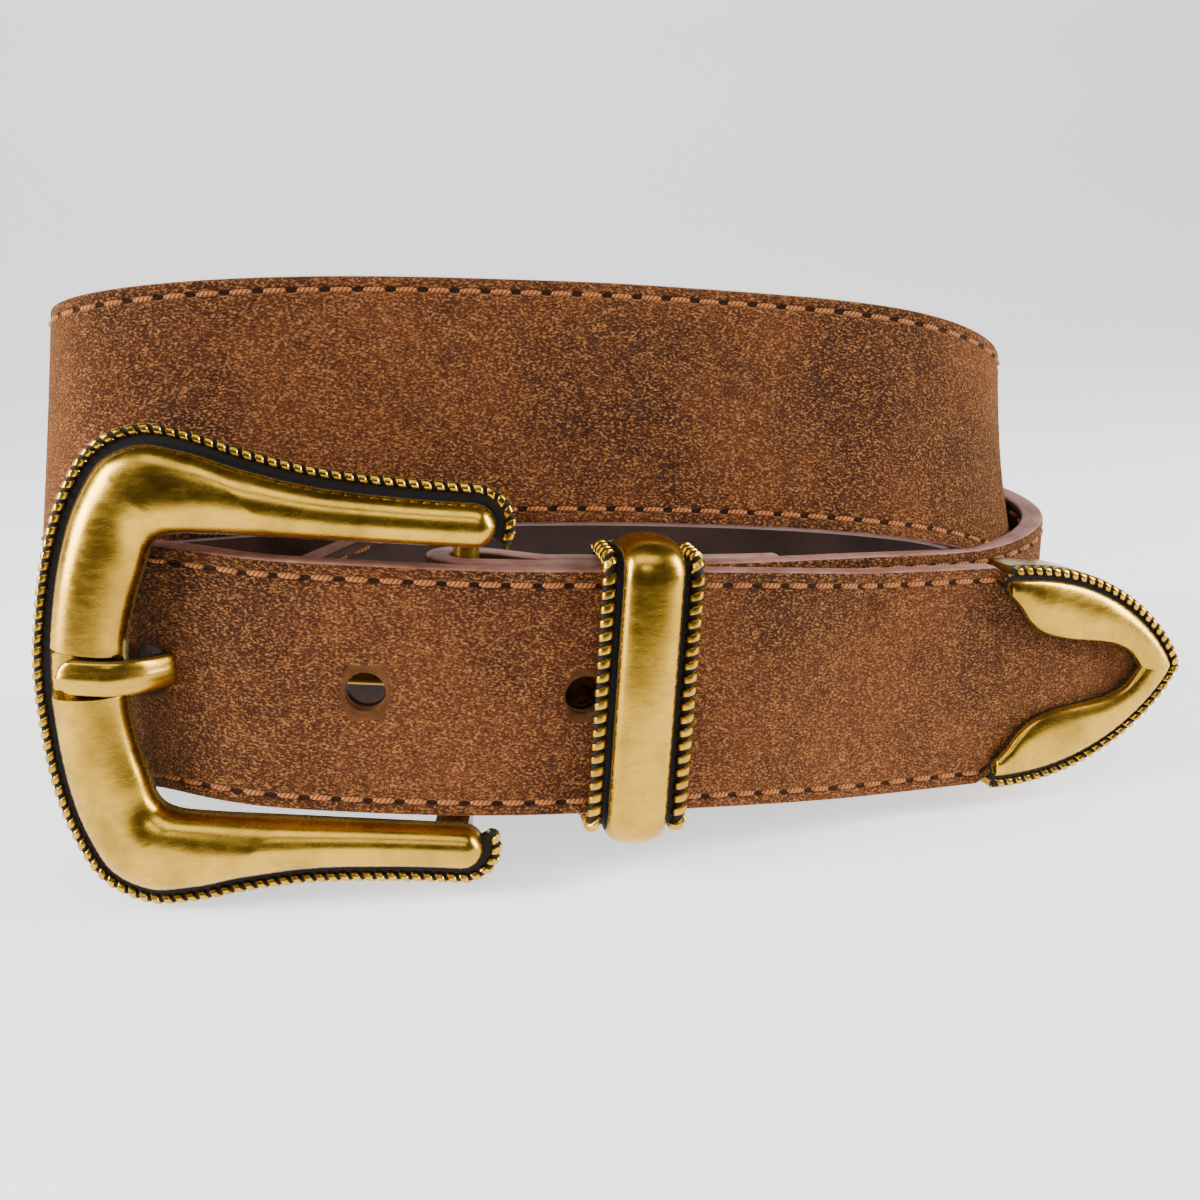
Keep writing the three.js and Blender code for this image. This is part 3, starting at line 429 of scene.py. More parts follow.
def tail_place(run):
    """The free end: a slight bend up to the tip's mouth, dead straight inside it."""
    bent = np.minimum(run, TAIL_MOUTH) / TAIL_MOUTH
    bend = np.radians(TAIL_BEND) * bent
    ahead = turned(TAIL_HEADING, bend)
    point = (TAIL_START + turned(TAIL_HEADING, bend / 2) * np.minimum(run, TAIL_MOUTH)[:, None]
             + ahead * np.maximum(run - TAIL_MOUTH, 0)[:, None])
    start_lift = ROUTE[-1, 2]
    fall = (start_lift - TAIL_LIFT_MOUTH) * STRAP_WIDTH
    settled = bent * (1 - TAIL_SETTLE) + TAIL_SETTLE * (1 - (1 - bent) ** 2)
    onward = (1 - TAIL_SETTLE) * np.maximum(run - TAIL_MOUTH, 0) / TAIL_MOUTH
    point[:, 2] = centre_height(start_lift, 0) - fall * (settled + onward)
    side = np.stack([ahead[:, 1], -ahead[:, 0], np.zeros_like(bend)], axis=-1)
    return point, side, np.zeros_like(bend), np.ones_like(bend)


def even_marks(low, high, place, step):
    """Parameters between two ends whose places lie a step apart."""
    fine = np.linspace(low, high, FINE_STEPS)
    way = travel(place(fine)[0])
    return np.interp(np.arange(0, way[-1], step), way, fine)


def arch_share(share):
    """A pointed arch: full width at 0, a soft point at 1."""
    return (1 - np.clip(share, 0, 1) ** ARCH_POWER) ** ARCH_FULLNESS


def tail_half_width(run):
    """Half the strap's width along its free end: full, stepped in at the mouth, then pointed."""
    share = (run - TAIL_MOUTH) / (TIP_LENGTH - TIP_WALL - TIP_END_ROOM / 2)
    shoulder = np.clip((run - TAIL_MOUTH + TIP_SHOULDER) / TIP_SHOULDER, 0, 1)
    wide = STRAP_WIDTH / 2 + (TONGUE_HALF_WIDTH - STRAP_WIDTH / 2) * shoulder
    return wide * arch_share(share)


def relaxed(values, passes):
    """Each inner value drawn half way to its neighbours' mean, pass after pass."""
    values = values.copy()
    for _ in range(passes):
        values[1:-1] = (values[:-2] + 2 * values[1:-1] + values[2:]) / 4
    return values


class StrapWay:
    """The whole strap's frames, from the chape's end round the coil to the tail's point."""

    def __init__(self, step):
        folds = np.linspace(0, np.pi, FOLD_STEPS + 1)[1:-1]
        tail_fine = np.concatenate([
            np.arange(0, TAIL_MOUTH - TIP_SHOULDER, step),
            np.linspace(TAIL_MOUTH - TIP_SHOULDER, TAIL_MOUTH, 4)[:-1],
            np.arange(TAIL_MOUTH, TAIL_LENGTH - TAIL_POINT_ROOM, step),
        ])
        stretches = [
            chape_place(even_marks(CHAPE_END_TURN, HEEL_TURN, chape_place, step)),
            fold_place(folds),
            route_place(even_marks(HEEL_TURN, TAIL_TURN, route_place, step)),
            tail_place(tail_fine),
        ]
        point, side, lean, thick = (np.concatenate(rows) for rows in zip(*stretches))
        self.coil_from = len(stretches[0][0]) + len(folds)
        self.tail_from = len(point) - len(tail_fine)
        coil = slice(self.coil_from, self.tail_from)
        point[coil, 2] = relaxed(point[coil, 2], int(2 * (SLOPE_REACH / step) ** 2))
        along = heading(point)
        self.point, self.along, self.up, self.out = framed(point, side, lean, along)
        self.thick = thick
        self.way = travel(point)
        self.half = np.full(len(point), STRAP_WIDTH / 2)
        self.half[self.tail_from:] = tail_half_width(tail_fine)

    def at(self, marks):
        """Frames at distances along the strap."""
        axes = [unit(sampled(table, self.way, marks))
                for table in (self.along, self.up, self.out)]
        return (sampled(self.point, self.way, marks), *axes,
                np.interp(marks, self.way, self.thick))


def grid_quads(rows, columns, around=False, closed=False):
    """Quads of a grid of rows x columns points; around wraps columns, closed wraps rows."""
    i = np.arange(rows if closed else rows - 1)[:, None]
    j = np.arange(columns if around else columns - 1)[None, :]
    following = (i + 1) % rows
    beside = (j + 1) % columns
    return np.stack([
        (i * columns + j), (following * columns + j),
        (following * columns + beside), (i * columns + beside),
    ], axis=-1).reshape(-1, 4)


class Part:
    """Points, quads, triangles and per-point values of one closed form."""

    def __init__(self, rings, closed=False, recess=0.0, lay=None, finish=0):
        rows, columns = rings.shape[:2]
        self.points = rings.reshape(-1, 3)
        self.quads = grid_quads(rows, columns, around=True, closed=closed)
        self.triangles = np.zeros((0, 3), int)
        self.recess = np.broadcast_to(recess, (rows, columns)).reshape(-1).astype(float)
        self.lay = np.zeros((rows * columns, 3)) if lay is None else lay.reshape(-1, 3)
        self.finish = np.broadcast_to(finish, len(self.quads)).copy()
        if not closed:
            middle = np.stack([rings[0].mean(axis=0), rings[-1].mean(axis=0)])
            count = len(self.points)
            j = np.arange(columns)
            beside = (j + 1) % columns
            last = (rows - 1) * columns
            start = np.stack([np.full(columns, count), j, beside], axis=1)
            end = np.stack([np.full(columns, count + 1), last + beside, last + j], axis=1)
            self.triangles = np.concatenate([start, end])
            self.points = np.concatenate([self.points, middle])
            ends = [self.recess[:columns].mean(), self.recess[-columns:].mean()]
            self.recess = np.concatenate([self.recess, ends])
            self.lay = np.concatenate([self.lay, self.lay[:1], self.lay[-1:]])
        if self.volume() < 0:
            self.quads = self.quads[:, ::-1]
            self.triangles = self.triangles[:, ::-1]

    def volume(self):
        """Six times the signed volume: below 0 when the faces look inwards."""
        split = np.concatenate([self.quads[:, [0, 1, 2]], self.quads[:, [0, 2, 3]],
                                self.triangles])
        a, b, c = (self.points[split[:, k]] for k in range(3))
        return np.einsum("ij,ij->i", a, np.cross(b, c)).sum()

    def moved(self, frame):
        """Turned into a frame given as (origin, x axis, y axis, z axis)."""
        origin, x, y, z = frame
        self.points = origin + self.points @ np.stack([x, y, z])
        return self


def mesh_object(name, parts, materials, replaces=()):
    """One mesh of all the parts, riding on the belt's body."""
    starts = np.cumsum([0] + [len(part.points) for part in parts])
    points = np.concatenate([part.points for part in parts])
    quads = np.concatenate([part.quads + start for part, start in zip(parts, starts)])
    triangles = np.concatenate([part.triangles + start for part, start in zip(parts, starts)])
    finish = np.concatenate([part.finish for part in parts]
                            + [np.zeros(len(triangles), int)])
    mesh = bpy.data.meshes.new(name)
    mesh.vertices.add(len(points))
    mesh.vertices.foreach_set("co", placed(points).astype(np.float32).ravel())
    corners = np.concatenate([quads.ravel(), triangles.ravel()])
    firsts = np.concatenate([4 * np.arange(len(quads)),
                             4 * len(quads) + 3 * np.arange(len(triangles))])
    mesh.loops.add(len(corners))
    mesh.loops.foreach_set("vertex_index", corners.astype(np.int32))
    mesh.polygons.add(len(firsts))
    mesh.polygons.foreach_set("loop_start", firsts.astype(np.int32))
    mesh.polygons.foreach_set("material_index", finish.astype(np.int32))
    mesh.polygons.foreach_set("use_smooth", np.ones(len(firsts), bool))
    recess = mesh.attributes.new("recess", "FLOAT", "POINT")
    recess.data.foreach_set(
        "value", np.concatenate([part.recess for part in parts]).astype(np.float32))
    lay = mesh.attributes.new("lay", "FLOAT_VECTOR", "POINT")
    lay.data.foreach_set(
        "vector", np.concatenate([part.lay for part in parts]).astype(np.float32).ravel())
    for material in materials:
        mesh.materials.append(material)
    mesh.update()
    mesh.validate()
    mesh.set_sharp_from_angle(angle=np.radians(SHARP_ANGLE))
    piece = bpy.data.objects.new(name, mesh)
    bpy.context.scene.collection.objects.link(piece)
    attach(piece, "root")
    if replaces:
        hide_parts(*replaces)
    return piece


def linear(code):
    """Linear RGBA of a hex sRGB colour."""
    channels = np.array([int(code[k:k + 2], 16) for k in (1, 3, 5)]) / 255
    low = channels / 12.92
    high = ((channels + 0.055) / 1.055) ** 2.4
    return (*np.where(channels <= 0.04045, low, high), 1.0)


def grained(millimetres):
    """Noise scale whose features are that many millimetres across."""
    return 1 / (millimetres * MM)


class Nodes:
    """A material's node tree, with one call to add and join a node."""

    def __init__(self, name):
        self.material = bpy.data.materials.new(name)
        self.material.use_nodes = True
        self.tree = self.material.node_tree
        self.shader = self.tree.nodes["Principled BSDF"]
        self.place = self.add("ShaderNodeTexCoord").outputs["Object"]

    def add(self, kind, inputs=(), **settings):
        node = self.tree.nodes.new(kind)
        for name, value in settings.items():
            setattr(node, name, value)
        for name, value in dict(inputs).items():
            self.join(value, node.inputs[name])
        return node

    def join(self, value, socket):
        if isinstance(value, bpy.types.NodeSocket):
            self.tree.links.new(value, socket)
        else:
            socket.default_value = value

    def noise(self, size, detail, roughness, place=None):
        node = self.add("ShaderNodeTexNoise", {
            "Vector": place or self.place, "Scale": grained(size),
            "Detail": detail, "Roughness": roughness})
        return node.outputs["Fac"]

    def spread(self, value, low, high, to_low=0.0, to_high=1.0):
        node = self.add("ShaderNodeMapRange", {
            "Value": value, "From Min": low, "From Max": high,
            "To Min": to_low, "To Max": to_high})
        return node.outputs["Result"]

    def blend(self, factor, first, second):
        node = self.add("ShaderNodeMix", data_type="RGBA")
        self.join(factor, node.inputs[0])
        self.join(first, node.inputs[6])
        self.join(second, node.inputs[7])
        return node.outputs[2]

    def maths(self, operation, first, second=0.0):
        node = self.add("ShaderNodeMath", operation=operation)
        self.join(first, node.inputs[0])
        self.join(second, node.inputs[1])
        return node.outputs[0]

    def bump(self, height, distance_mm, strength):
        node = self.add("ShaderNodeBump", {
            "Height": height, "Distance": distance_mm * MM, "Strength": strength})
        return node.outputs["Normal"]

    def attribute(self, name, output="Fac"):
        return self.add("ShaderNodeAttribute", attribute_name=name).outputs[output]

    def weighted(self, first, first_weight, second, second_weight):
        return self.maths("ADD", self.maths("MULTIPLY", first, first_weight),
                          self.maths("MULTIPLY", second, second_weight))

    def parts(self, vector):
        node = self.add("ShaderNodeSeparateXYZ", {"Vector": vector})
        return node.outputs["X"], node.outputs["Y"], node.outputs["Z"]

    def finish(self, **sockets):
        for name, value in sockets.items():
            self.join(value, self.shader.inputs[name.replace("_", " ")])
        return self.material


def suede_material(settings, first_stitch):
    """Brushed suede: short fibres in light and dark flecks, in soft brushed patches.

    A needle hole lies half way between two stitches; its depth and its painted shade fall with
    the distance from there, and a shallow line of painted shade runs through the whole row.
    """
    nodes = Nodes("brown_suede")
    lay = nodes.attribute("lay", "Vector")
    along, across, _ = nodes.parts(lay)
    nap_place = nodes.add("ShaderNodeMapping", {
        "Vector": lay, "Rotation": (0.0, 0.0, 0.45), "Scale": (MM, 1.6 * MM, MM)})
    nap = nodes.noise(0.5, 3, 0.7, nap_place.outputs["Vector"])
    pebble = nodes.noise(1.3, 2, 0.5)
    patches = nodes.noise(26, 3, 0.6)
    base = tuple(settings.suede_colour) + (1.0,)
    toned = nodes.blend(nodes.spread(patches, 0.38, 0.64), linear("#33190c"), base)
    tufts = nodes.weighted(nap, 0.85, pebble, 0.15)
    lit = nodes.blend(nodes.spread(tufts, 0.51, 0.66, 0, 0.9), toned, linear("#b87b44"))
    pits = nodes.blend(nodes.spread(tufts, 0.36, 0.49, 0.8, 0), lit, linear("#1e0e08"))
    pitch = settings.stitch_pitch / MM
    run = nodes.maths("SUBTRACT", along, first_stitch - pitch / 2)
    gap = nodes.maths("PINGPONG", run, pitch / 2)
    off_row = nodes.maths("ABSOLUTE", nodes.maths(
        "SUBTRACT", nodes.maths("ABSOLUTE", across), STITCH_ROW))
    reach = nodes.maths("ADD", nodes.maths("POWER", nodes.maths("DIVIDE", gap, 0.95), 2.0),
                        nodes.maths("POWER", nodes.maths("DIVIDE", off_row, 0.5), 2.0))
    # Painted shade: dark in each needle hole, which is also a dent in the bump, and fainter along
    # the stitch groove
    hole = nodes.spread(reach, 0.6, 1.3, 0.95, 0)
    line = nodes.spread(off_row, 0.15, 0.75, 0.45, 0)
    painted_stitch_shade = nodes.blend(nodes.maths("MAXIMUM", hole, line), pits, linear("#1c0c06"))
    relief = nodes.maths("SUBTRACT", tufts, hole)
    normal = nodes.bump(relief, 0.6, 1.0)
    return nodes.finish(
        Base_Color=painted_stitch_shade, Roughness=0.92, Normal=normal, Specular_IOR_Level=0.12,
        Sheen_Weight=0.5, Sheen_Roughness=0.3, Sheen_Tint=linear("#e09c58"))


def lining_material():
    """Smooth dark lining leather with fine pores and a soft shine."""
    nodes = Nodes("dark_lining_leather")
    cells = nodes.add("ShaderNodeTexVoronoi", {"Vector": nodes.place, "Scale": grained(0.7)})
    pores = cells.outputs["Distance"]
    clouds = nodes.noise(14, 4, 0.6)
    colour = nodes.blend(nodes.spread(clouds, 0.35, 0.7), linear("#2c1a15"), linear("#452c25"))
    normal = nodes.bump(pores, 0.06, 0.5)
    return nodes.finish(
        Base_Color=colour, Roughness=nodes.spread(clouds, 0.3, 0.7, 0.42, 0.6), Normal=normal,
        Specular_IOR_Level=0.3)


def edge_material():
    """Painted edge: a mauve-pink coat over leather, slightly uneven, with the plies' line."""
    nodes = Nodes("mauve_edge_paint")
    clouds = nodes.noise(5, 4, 0.65)
    wear = nodes.noise(0.8, 3, 0.6)
    coat = nodes.blend(nodes.spread(clouds, 0.35, 0.7), linear("#7f5247"), linear("#a57a6e"))
    worn = nodes.blend(nodes.spread(wear, 0.58, 0.75, 0, 0.6), coat, linear("#6b3f2c"))
    normal = nodes.bump(wear, 0.08, 0.5)
    return nodes.finish(Base_Color=worn, Roughness=0.55, Normal=normal,
                        Specular_IOR_Level=0.3)


def thread_material():
    """Waxed brown thread, twisted, with painted shade between its strands and a painted highlight
    along them.
    """
    nodes = Nodes("waxed_thread")
    along, round_it, _ = nodes.parts(nodes.attribute("lay", "Vector"))
    twist = nodes.maths("SINE", nodes.weighted(along, 9.0, round_it, 2.0))
    # Painted highlight on the strands and painted shade between them, from the same wave as the
    # bump
    colour = nodes.blend(nodes.spread(twist, -1, 1), linear("#6e3b20"), linear("#b5733f"))
    normal = nodes.bump(twist, 0.06, 0.6)
    return nodes.finish(Base_Color=colour, Roughness=0.7, Specular_IOR_Level=0.15,
                        Normal=normal)


def brass_material(settings):
    """Antiqued brass: satin gold on the raised parts, burnt-dark patina left in the recesses.

    The recess attribute is 1 at the bottom of grooves and 0 on what a buffing wheel reaches.
    """
    nodes = Nodes("antique_brass")
    recess = nodes.attribute("recess")
    clouds = nodes.noise(9, 4, 0.6)
    streak_place = nodes.add("ShaderNodeMapping", {
        "Vector": nodes.place, "Scale": (1.0, 1.0, 3.0)}).outputs["Vector"]
    streaks = nodes.noise(3.2, 4, 0.6, streak_place)
    grit = nodes.noise(0.4, 3, 0.65)
    bright = tuple(settings.brass_colour) + (1.0,)
    toned = nodes.blend(nodes.spread(clouds, 0.42, 0.66, 0, 0.75), bright, linear("#8c6c26"))
    rubbed = nodes.blend(nodes.spread(streaks, 0.55, 0.8, 0, 0.35), toned, linear("#94702c"))
    edge = nodes.maths("ADD", recess, nodes.spread(grit, 0.3, 0.7, -0.14, 0.14))
    burnt = nodes.spread(edge, 0.32, 0.68, 0, settings.patina)
    colour = nodes.blend(burnt, rubbed, linear("#0c0503"))
    satin = nodes.spread(streaks, 0.3, 0.75, 0.2, 0.32)
    rough = nodes.maths("MAXIMUM", satin, nodes.spread(burnt, 0, 1, 0, 0.75))
    normal = nodes.bump(nodes.maths("ADD", streaks, nodes.maths("MULTIPLY", grit, 0.6)), 0.03, 0.5)
    return nodes.finish(
        Base_Color=colour, Metallic=nodes.spread(burnt, 0, 1, 1, 0.35), Roughness=rough,
        Normal=normal)


def backdrop_material():
    """Matt white paper that falls off to a dark grey in front of the picture.

    The brass mirrors that dark part, which gives its domes their depth.
    """
    nodes = Nodes("white_backdrop")
    fibres = nodes.noise(2.0, 2, 0.5)
    white = nodes.blend(fibres, linear("#f4f4f4"), linear("#fafafa"))
    front = nodes.parts(nodes.place)[1]
    lit = nodes.spread(front, -0.175, -0.125)
    colour = nodes.blend(lit, linear("#262420"), white)
    return nodes.finish(
        Base_Color=colour, Roughness=1.0, Emission_Color=linear("#ffffff"),
        Emission_Strength=nodes.spread(lit, 0, 1, 0.02, 1.0), Specular_IOR_Level=0.0)


def face_profile():
    """Places across the face in mm, and how far each of them sinks below the surface."""
    flat_half = STITCH_ROW - 1.6
    flat = np.linspace(-flat_half, flat_half, 12)
    groove = STITCH_ROW + np.array([-0.8, -0.4, 0, 0.4, 0.8])
    bend = np.sin(np.linspace(0.2, np.pi / 2, CURL_STEPS))
    curl = STRAP_WIDTH / 2 - EDGE_ROUND + EDGE_ROUND * bend
    width = np.sort(np.concatenate([-curl, -groove, flat, groove, curl]))
    sink = STITCH_GROOVE * np.exp(-((np.abs(width) - STITCH_ROW) / STITCH_RADIUS) ** 2)
    over = np.clip((np.abs(width) - (STRAP_WIDTH / 2 - EDGE_ROUND)) / EDGE_ROUND, 0, 1)
    return width, sink + EDGE_ROUND * (1 - np.sqrt(1 - over**2))


def ply_part(way, inner, outer):
    """One ply as a grid: each row is the frame's cross-section, rounded towards outer."""
    width, sink = face_profile()
    sign = np.sign(outer - inner)
    back_half = STRAP_WIDTH / 2 - 0.02
    back = np.linspace(back_half, -back_half, 8)
    widths = np.concatenate([width, back])
    depths = np.concatenate([outer - sign * sink, np.full(len(back), inner)])
    share = (way.half / (STRAP_WIDTH / 2))[:, None]
    rings = swept(way.point, (way.up, widths * share), (way.out, depths * way.thick[:, None]))
    lay = np.stack(np.broadcast_arrays(
        way.way[:, None], widths[None, :], depths[None, :]), axis=-1)
    at_edge = np.zeros(len(widths), int)
    at_edge[:CURL_STEPS - 2] = EDGE_SLOT
    at_edge[len(width) - CURL_STEPS + 1:len(width)] = EDGE_SLOT
    at_edge[-1] = EDGE_SLOT
    return Part(rings, lay=lay, finish=np.tile(at_edge, len(way.point) - 1))


def prism(outline, low, high):
    """A straight-sided form over a closed outline."""
    heights = np.array([low, high])
    rings = np.concatenate([
        np.broadcast_to(outline[None], (2, *outline.shape)),
        np.broadcast_to(heights[:, None, None], (2, len(outline), 1))], axis=2)
    return Part(rings, recess=PLAIN_RECESS)


def rectangle(left, right, middle, half):
    """Corners between two x values, half the height to either side of a middle y."""
    return np.array([(left, middle - half), (right, middle - half),
                     (right, middle + half), (left, middle + half)])


def hole_outline(radius, stretch, count=20):
    """A circle pulled apart along the strap."""
    angle = np.linspace(-np.pi / 2, np.pi / 2, count)
    right = np.stack([stretch / 2 + radius * np.cos(angle), radius * np.sin(angle)], axis=1)
    return np.concatenate([right, -right])


def turn_after(turn, distance):
    """The turn whose point lies a given way along the coil from another."""
    fine = turn + np.sign(distance) * np.arange(0, 90, 0.25)
    way = travel(route_place(fine)[0])
    return float(np.interp(abs(distance), way, fine))


def prong_hole_turn():
    """The last layer's turn that lies nearest to where the prong comes out."""
    origin, x, _, z = buckle_frame()
    way_out = origin - x * PRONG_RISE + z * FOLD_RADIUS
    turns = np.arange(2 * FULL_TURN + HEEL_TURN, 2 * FULL_TURN + HEEL_TURN - 60, -0.25)
    apart = np.linalg.norm(route_place(turns)[0][:, :2] - way_out[:2], axis=1)
    return turns[apart.argmin()]


def hole_turns():
    """(turn, whether the prong goes through it) of each hole."""
    start = prong_hole_turn()
    return [(start if k == 0 else turn_after(start, k * HOLE_PITCH), k == 0)
            for k in np.arange(HOLE_COUNT) - HOLES_BEHIND_PRONG]


def buckle_frame():
    """Origin on the heel bar, x towards the tip, y up, z out, turned by the buckle's yaw."""
    yaw = np.radians(BUCKLE_YAW)
    x = HEEL_ALONG * np.cos(yaw) + HEEL_OUT * np.sin(yaw)
    z = -HEEL_ALONG * np.sin(yaw) + HEEL_OUT * np.cos(yaw)
    return BAR_CENTRE + HEEL_UP * STRAP_SIT, x, HEEL_UP, z


def cut_through(piece, cutters):
    """Takes each cutter's form out of the piece's mesh, one after the other."""
    for cutter in cutters:
        tool = mesh_object("hole_tool", [cutter], [])
        modifier = piece.modifiers.new("hole", "BOOLEAN")
        modifier.operation = "DIFFERENCE"
        modifier.solver = "EXACT"
        modifier.object = tool
        graph = bpy.context.evaluated_depsgraph_get()
        cut = bpy.data.meshes.new_from_object(piece.evaluated_get(graph))
        if len(cut.polygons) < len(piece.data.polygons) / 2:
            raise RuntimeError("a hole could not be cut in " + piece.name)
        piece.modifiers.clear()
        old = piece.data
        piece.data = cut
        cut.name = piece.name
        bpy.data.meshes.remove(old)
        bpy.data.objects.remove(tool)


def hole_tools():
    """Cutters for the five holes and for the prong's eye in the folded chape."""
    tools = []
    for turn, at_prong in hole_turns():
        radius = PRONG_WIDTH / 2 + PRONG_HOLE_ROOM if at_prong else HOLE_DIAMETER / 2
        stretch = PRONG_HOLE_STRETCH if at_prong else 0.0
        depth = STRAP_THICKNESS * 0.8
        form = prism(hole_outline(radius, stretch), -depth, depth)
        if at_prong:
            form.points[:, 0] -= form.points[:, 2] * PRONG_SLANT
        tools.append(form.moved(framed_at(route_place, turn)))
    slot = rectangle(-FOLD_FRONT * 2.2, FOLD_FRONT, 0, PRONG_WIDTH / 2 + PRONG_SLOT_ROOM)
    tools.append(prism(slot, -FOLD_FRONT - 1, FOLD_FRONT + 0.2).moved(buckle_frame()))
    return tools


def capsules(way, marks, width, sign, length):
    """Stitches: a thread that bows up between two needle holes and dives into them.

    Along the stitch x goes from -1 to 1; the height is a half ellipse less a little sink.
    """
    rows, sides = 9, 6
    depth = HALF_THICKNESS - STITCH_GROOVE + STITCH_LIFT
    x = np.linspace(-1, 1, rows)
    bow = np.sqrt(np.maximum(1 - x**2, 0)) ** 0.7
    angle = circle(sides)
    point, along, up, out, thick = way.at(marks)
    centre = (point[:, None, :] + up[:, None, :] * width
              + along[:, None, :] * (x * length / 2)[None, :, None]
              + out[:, None, :] * sign * (depth * thick[:, None] - STITCH_DIVE
                                          + STITCH_DIVE * bow[None, :])[:, :, None])
    thin = STITCH_RADIUS * (0.55 + 0.45 * bow)
    rings = (centre[:, :, None, :]
             + up[:, None, None, :] * (thin[:, None] * np.cos(angle))[None, :, :, None]
             + out[:, None, None, :] * (thin[:, None] * np.sin(angle))[None, :, :, None] * 0.8)
    count = len(marks)
    part = Part(rings[0])
    quads = grid_quads(rows, sides, around=True)
    part.points = rings.reshape(-1, 3)
    shifts = (np.arange(count) * rows * sides)[:, None, None]
    part.quads = (quads[None] + shifts).reshape(-1, 4)
    part.triangles = np.zeros((0, 3), int)
    part.recess = np.zeros(len(part.points))
    lay = np.stack(np.broadcast_arrays(
        (x * length / 2)[None, :, None], angle[None, None, :], marks[:, None, None]), axis=-1)
    part.lay = lay.reshape(-1, 3)
    part.finish = np.zeros(len(part.quads), int)
    return part


def mirrored_curve(table):
    """Upper arm's end, round the bar, to the lower arm's end."""
    half = np.stack([BUCKLE_ARM_END - table[:, 0] * BUCKLE_LENGTH,
                     table[:, 1] * BUCKLE_HALF_HEIGHT], axis=1)
    lower = half[1:] * (1, -1)
    return spline(np.concatenate([half[::-1], lower]))


def at_height(points, height):
    """Points of a plan, all lifted to one height."""
    return np.concatenate([points, np.full((len(points), 1), height)], axis=1)


def offset_run(points, distance):
    """Each point moved to the left of the way by a distance."""
    way = heading(points)
    return points + np.stack([-way[:, 1], way[:, 0]], axis=1) * distance


def round_ends(outer, inner):
    """Both rails closed in on each other on a half circle at either end."""
    angle = np.linspace(0, np.pi / 2, CAP_STEPS + 1)[1:]
    rails = []
    for a, b in ((outer, inner), (inner, outer)):
        ends = []
        for i in (0, -1):
            middle = (a[i] + b[i]) / 2
            reach = np.linalg.norm(a[i] - b[i]) / 2
            rows = middle + (a[i] - middle) * np.cos(angle)[:, None]
            rows = rows + np.stack([reach * np.sin(angle), np.zeros_like(angle)], axis=1)
            ends.append(rows)
        rails.append(np.concatenate([ends[0][::-1], a, ends[1]]))
    return rails


def ridge(outer, inner, floor, foot, rise, fullness=0.8):
    """A smooth cast dome between two rails on straight feet.

    The height follows a half wave, its sine to the power of fullness, times the rise,
    which falls with the width towards the ends.
    """
    width = np.linalg.norm(outer - inner, axis=1)
    widest = width.max()
    height = rise * np.minimum(1, 0.55 + 0.5175 * width / widest)
    height = height * np.sqrt(np.minimum(1, width / (widest * 0.35)))
    angle = np.linspace(0, np.pi, RIDGE_STEPS)
    share = (1 - np.cos(angle)) / 2
    plan = outer[:, None, :] + (inner - outer)[:, None, :] * share[None, :, None]
    top = foot + height[:, None] * (np.sin(angle) ** fullness)[None, :]
    body = np.concatenate([plan, top[:, :, None]], axis=2)
    feet = [at_height(rail, floor)[:, None, :] for rail in (outer, inner)]
    rings = np.concatenate([feet[0], body, feet[1]], axis=1)
    shade = np.where(angle > np.pi / 2, RIDGE_INNER_SHADE, RIDGE_OUTER_SHADE)
    dome_recess = np.clip(shade - RIDGE_POLISH * np.sin(angle), 0, 1)
    recess = np.concatenate([[1.0], dome_recess, [0.6]])
    return Part(rings, recess=recess[None, :])


def ribbon(outer, inner, low, high, recess=1.0):
    """A flat band between two rails with small bevels on its four edges."""
    across = unit(inner - outer)
    rows = [at_height(rail + across * inward, height) for rail, inward, height in (
        (outer, BEVEL, low), (outer, 0, low + BEVEL), (outer, 0, high - BEVEL),
        (outer, BEVEL, high), (inner, -BEVEL, high), (inner, 0, high - BEVEL),
        (inner, 0, low + BEVEL), (inner, -BEVEL, low),
    )]
    return Part(np.stack(rows, axis=1), recess=recess)


def twisted_rope(points, outward, radius, pitch, sides=12):
    """A cast rope: one strand that winds round a dark core once in a pitch.

    The strand's middle lies on a short arm that turns about the run; its section is a
    squarish oval that reaches about a third of the pitch either way along the run.
    """
    way = travel(points)
    count = int(way[-1] / (pitch / ROWS_PER_PITCH))
    marks = np.linspace(0, way[-1], count)
    run = sampled(points, way, marks)
    out = sampled(outward, way, marks)
    along = heading(run)
    out = unit(out - along * np.einsum("ij,ij->i", out, along)[:, None])
    across = np.cross(along, out)
    angle = circle(sides)
    high = radius * ROPE_STRAND_HIGH * signed_power(np.cos(angle), 0.5)
    wide = pitch * ROPE_STRAND_LONG * signed_power(np.sin(angle), 0.5)
    phase = -2 * np.pi * marks / pitch
    arm = across * np.cos(phase)[:, None] + out * np.sin(phase)[:, None]
    side = unit(along - arm * np.einsum("ij,ij->i", along, arm)[:, None])
    strand = swept(run + arm * radius * ROPE_ARM, (arm, high), (side, wide))
    recess = smoothstep(-np.cos(angle), -0.45, 0.1)[None, :]
    core = swept(run, (out, radius * ROPE_CORE_HIGH * np.cos(angle)),
                 (across, radius * ROPE_CORE_WIDE * np.sin(angle)))
    return [Part(strand, recess=recess), Part(core, recess=1.0)]


def flat_rope(run, height, pitch):
    """The border's rope along a plan at one height."""
    line = at_height(run, height)
    outward = np.broadcast_to([0.0, 0.0, 1.0], line.shape)
    return twisted_rope(line, outward, ROPE_RADIUS, pitch)


def rod(start, end, radius, sides=32):
    """A round bar between two points."""
    axis = unit(end - start)
    helper = np.array([0.0, 0.0, 1.0]) if abs(axis[2]) < 0.9 else np.array([1.0, 0.0, 0.0])
    first = unit(np.cross(axis, helper))
    second = np.cross(axis, first)
    angle = circle(sides)
    ring = first * np.cos(angle)[:, None] * radius + second * np.sin(angle)[:, None] * radius
    return Part(np.stack([start + ring, end + ring]), recess=PLAIN_RECESS)


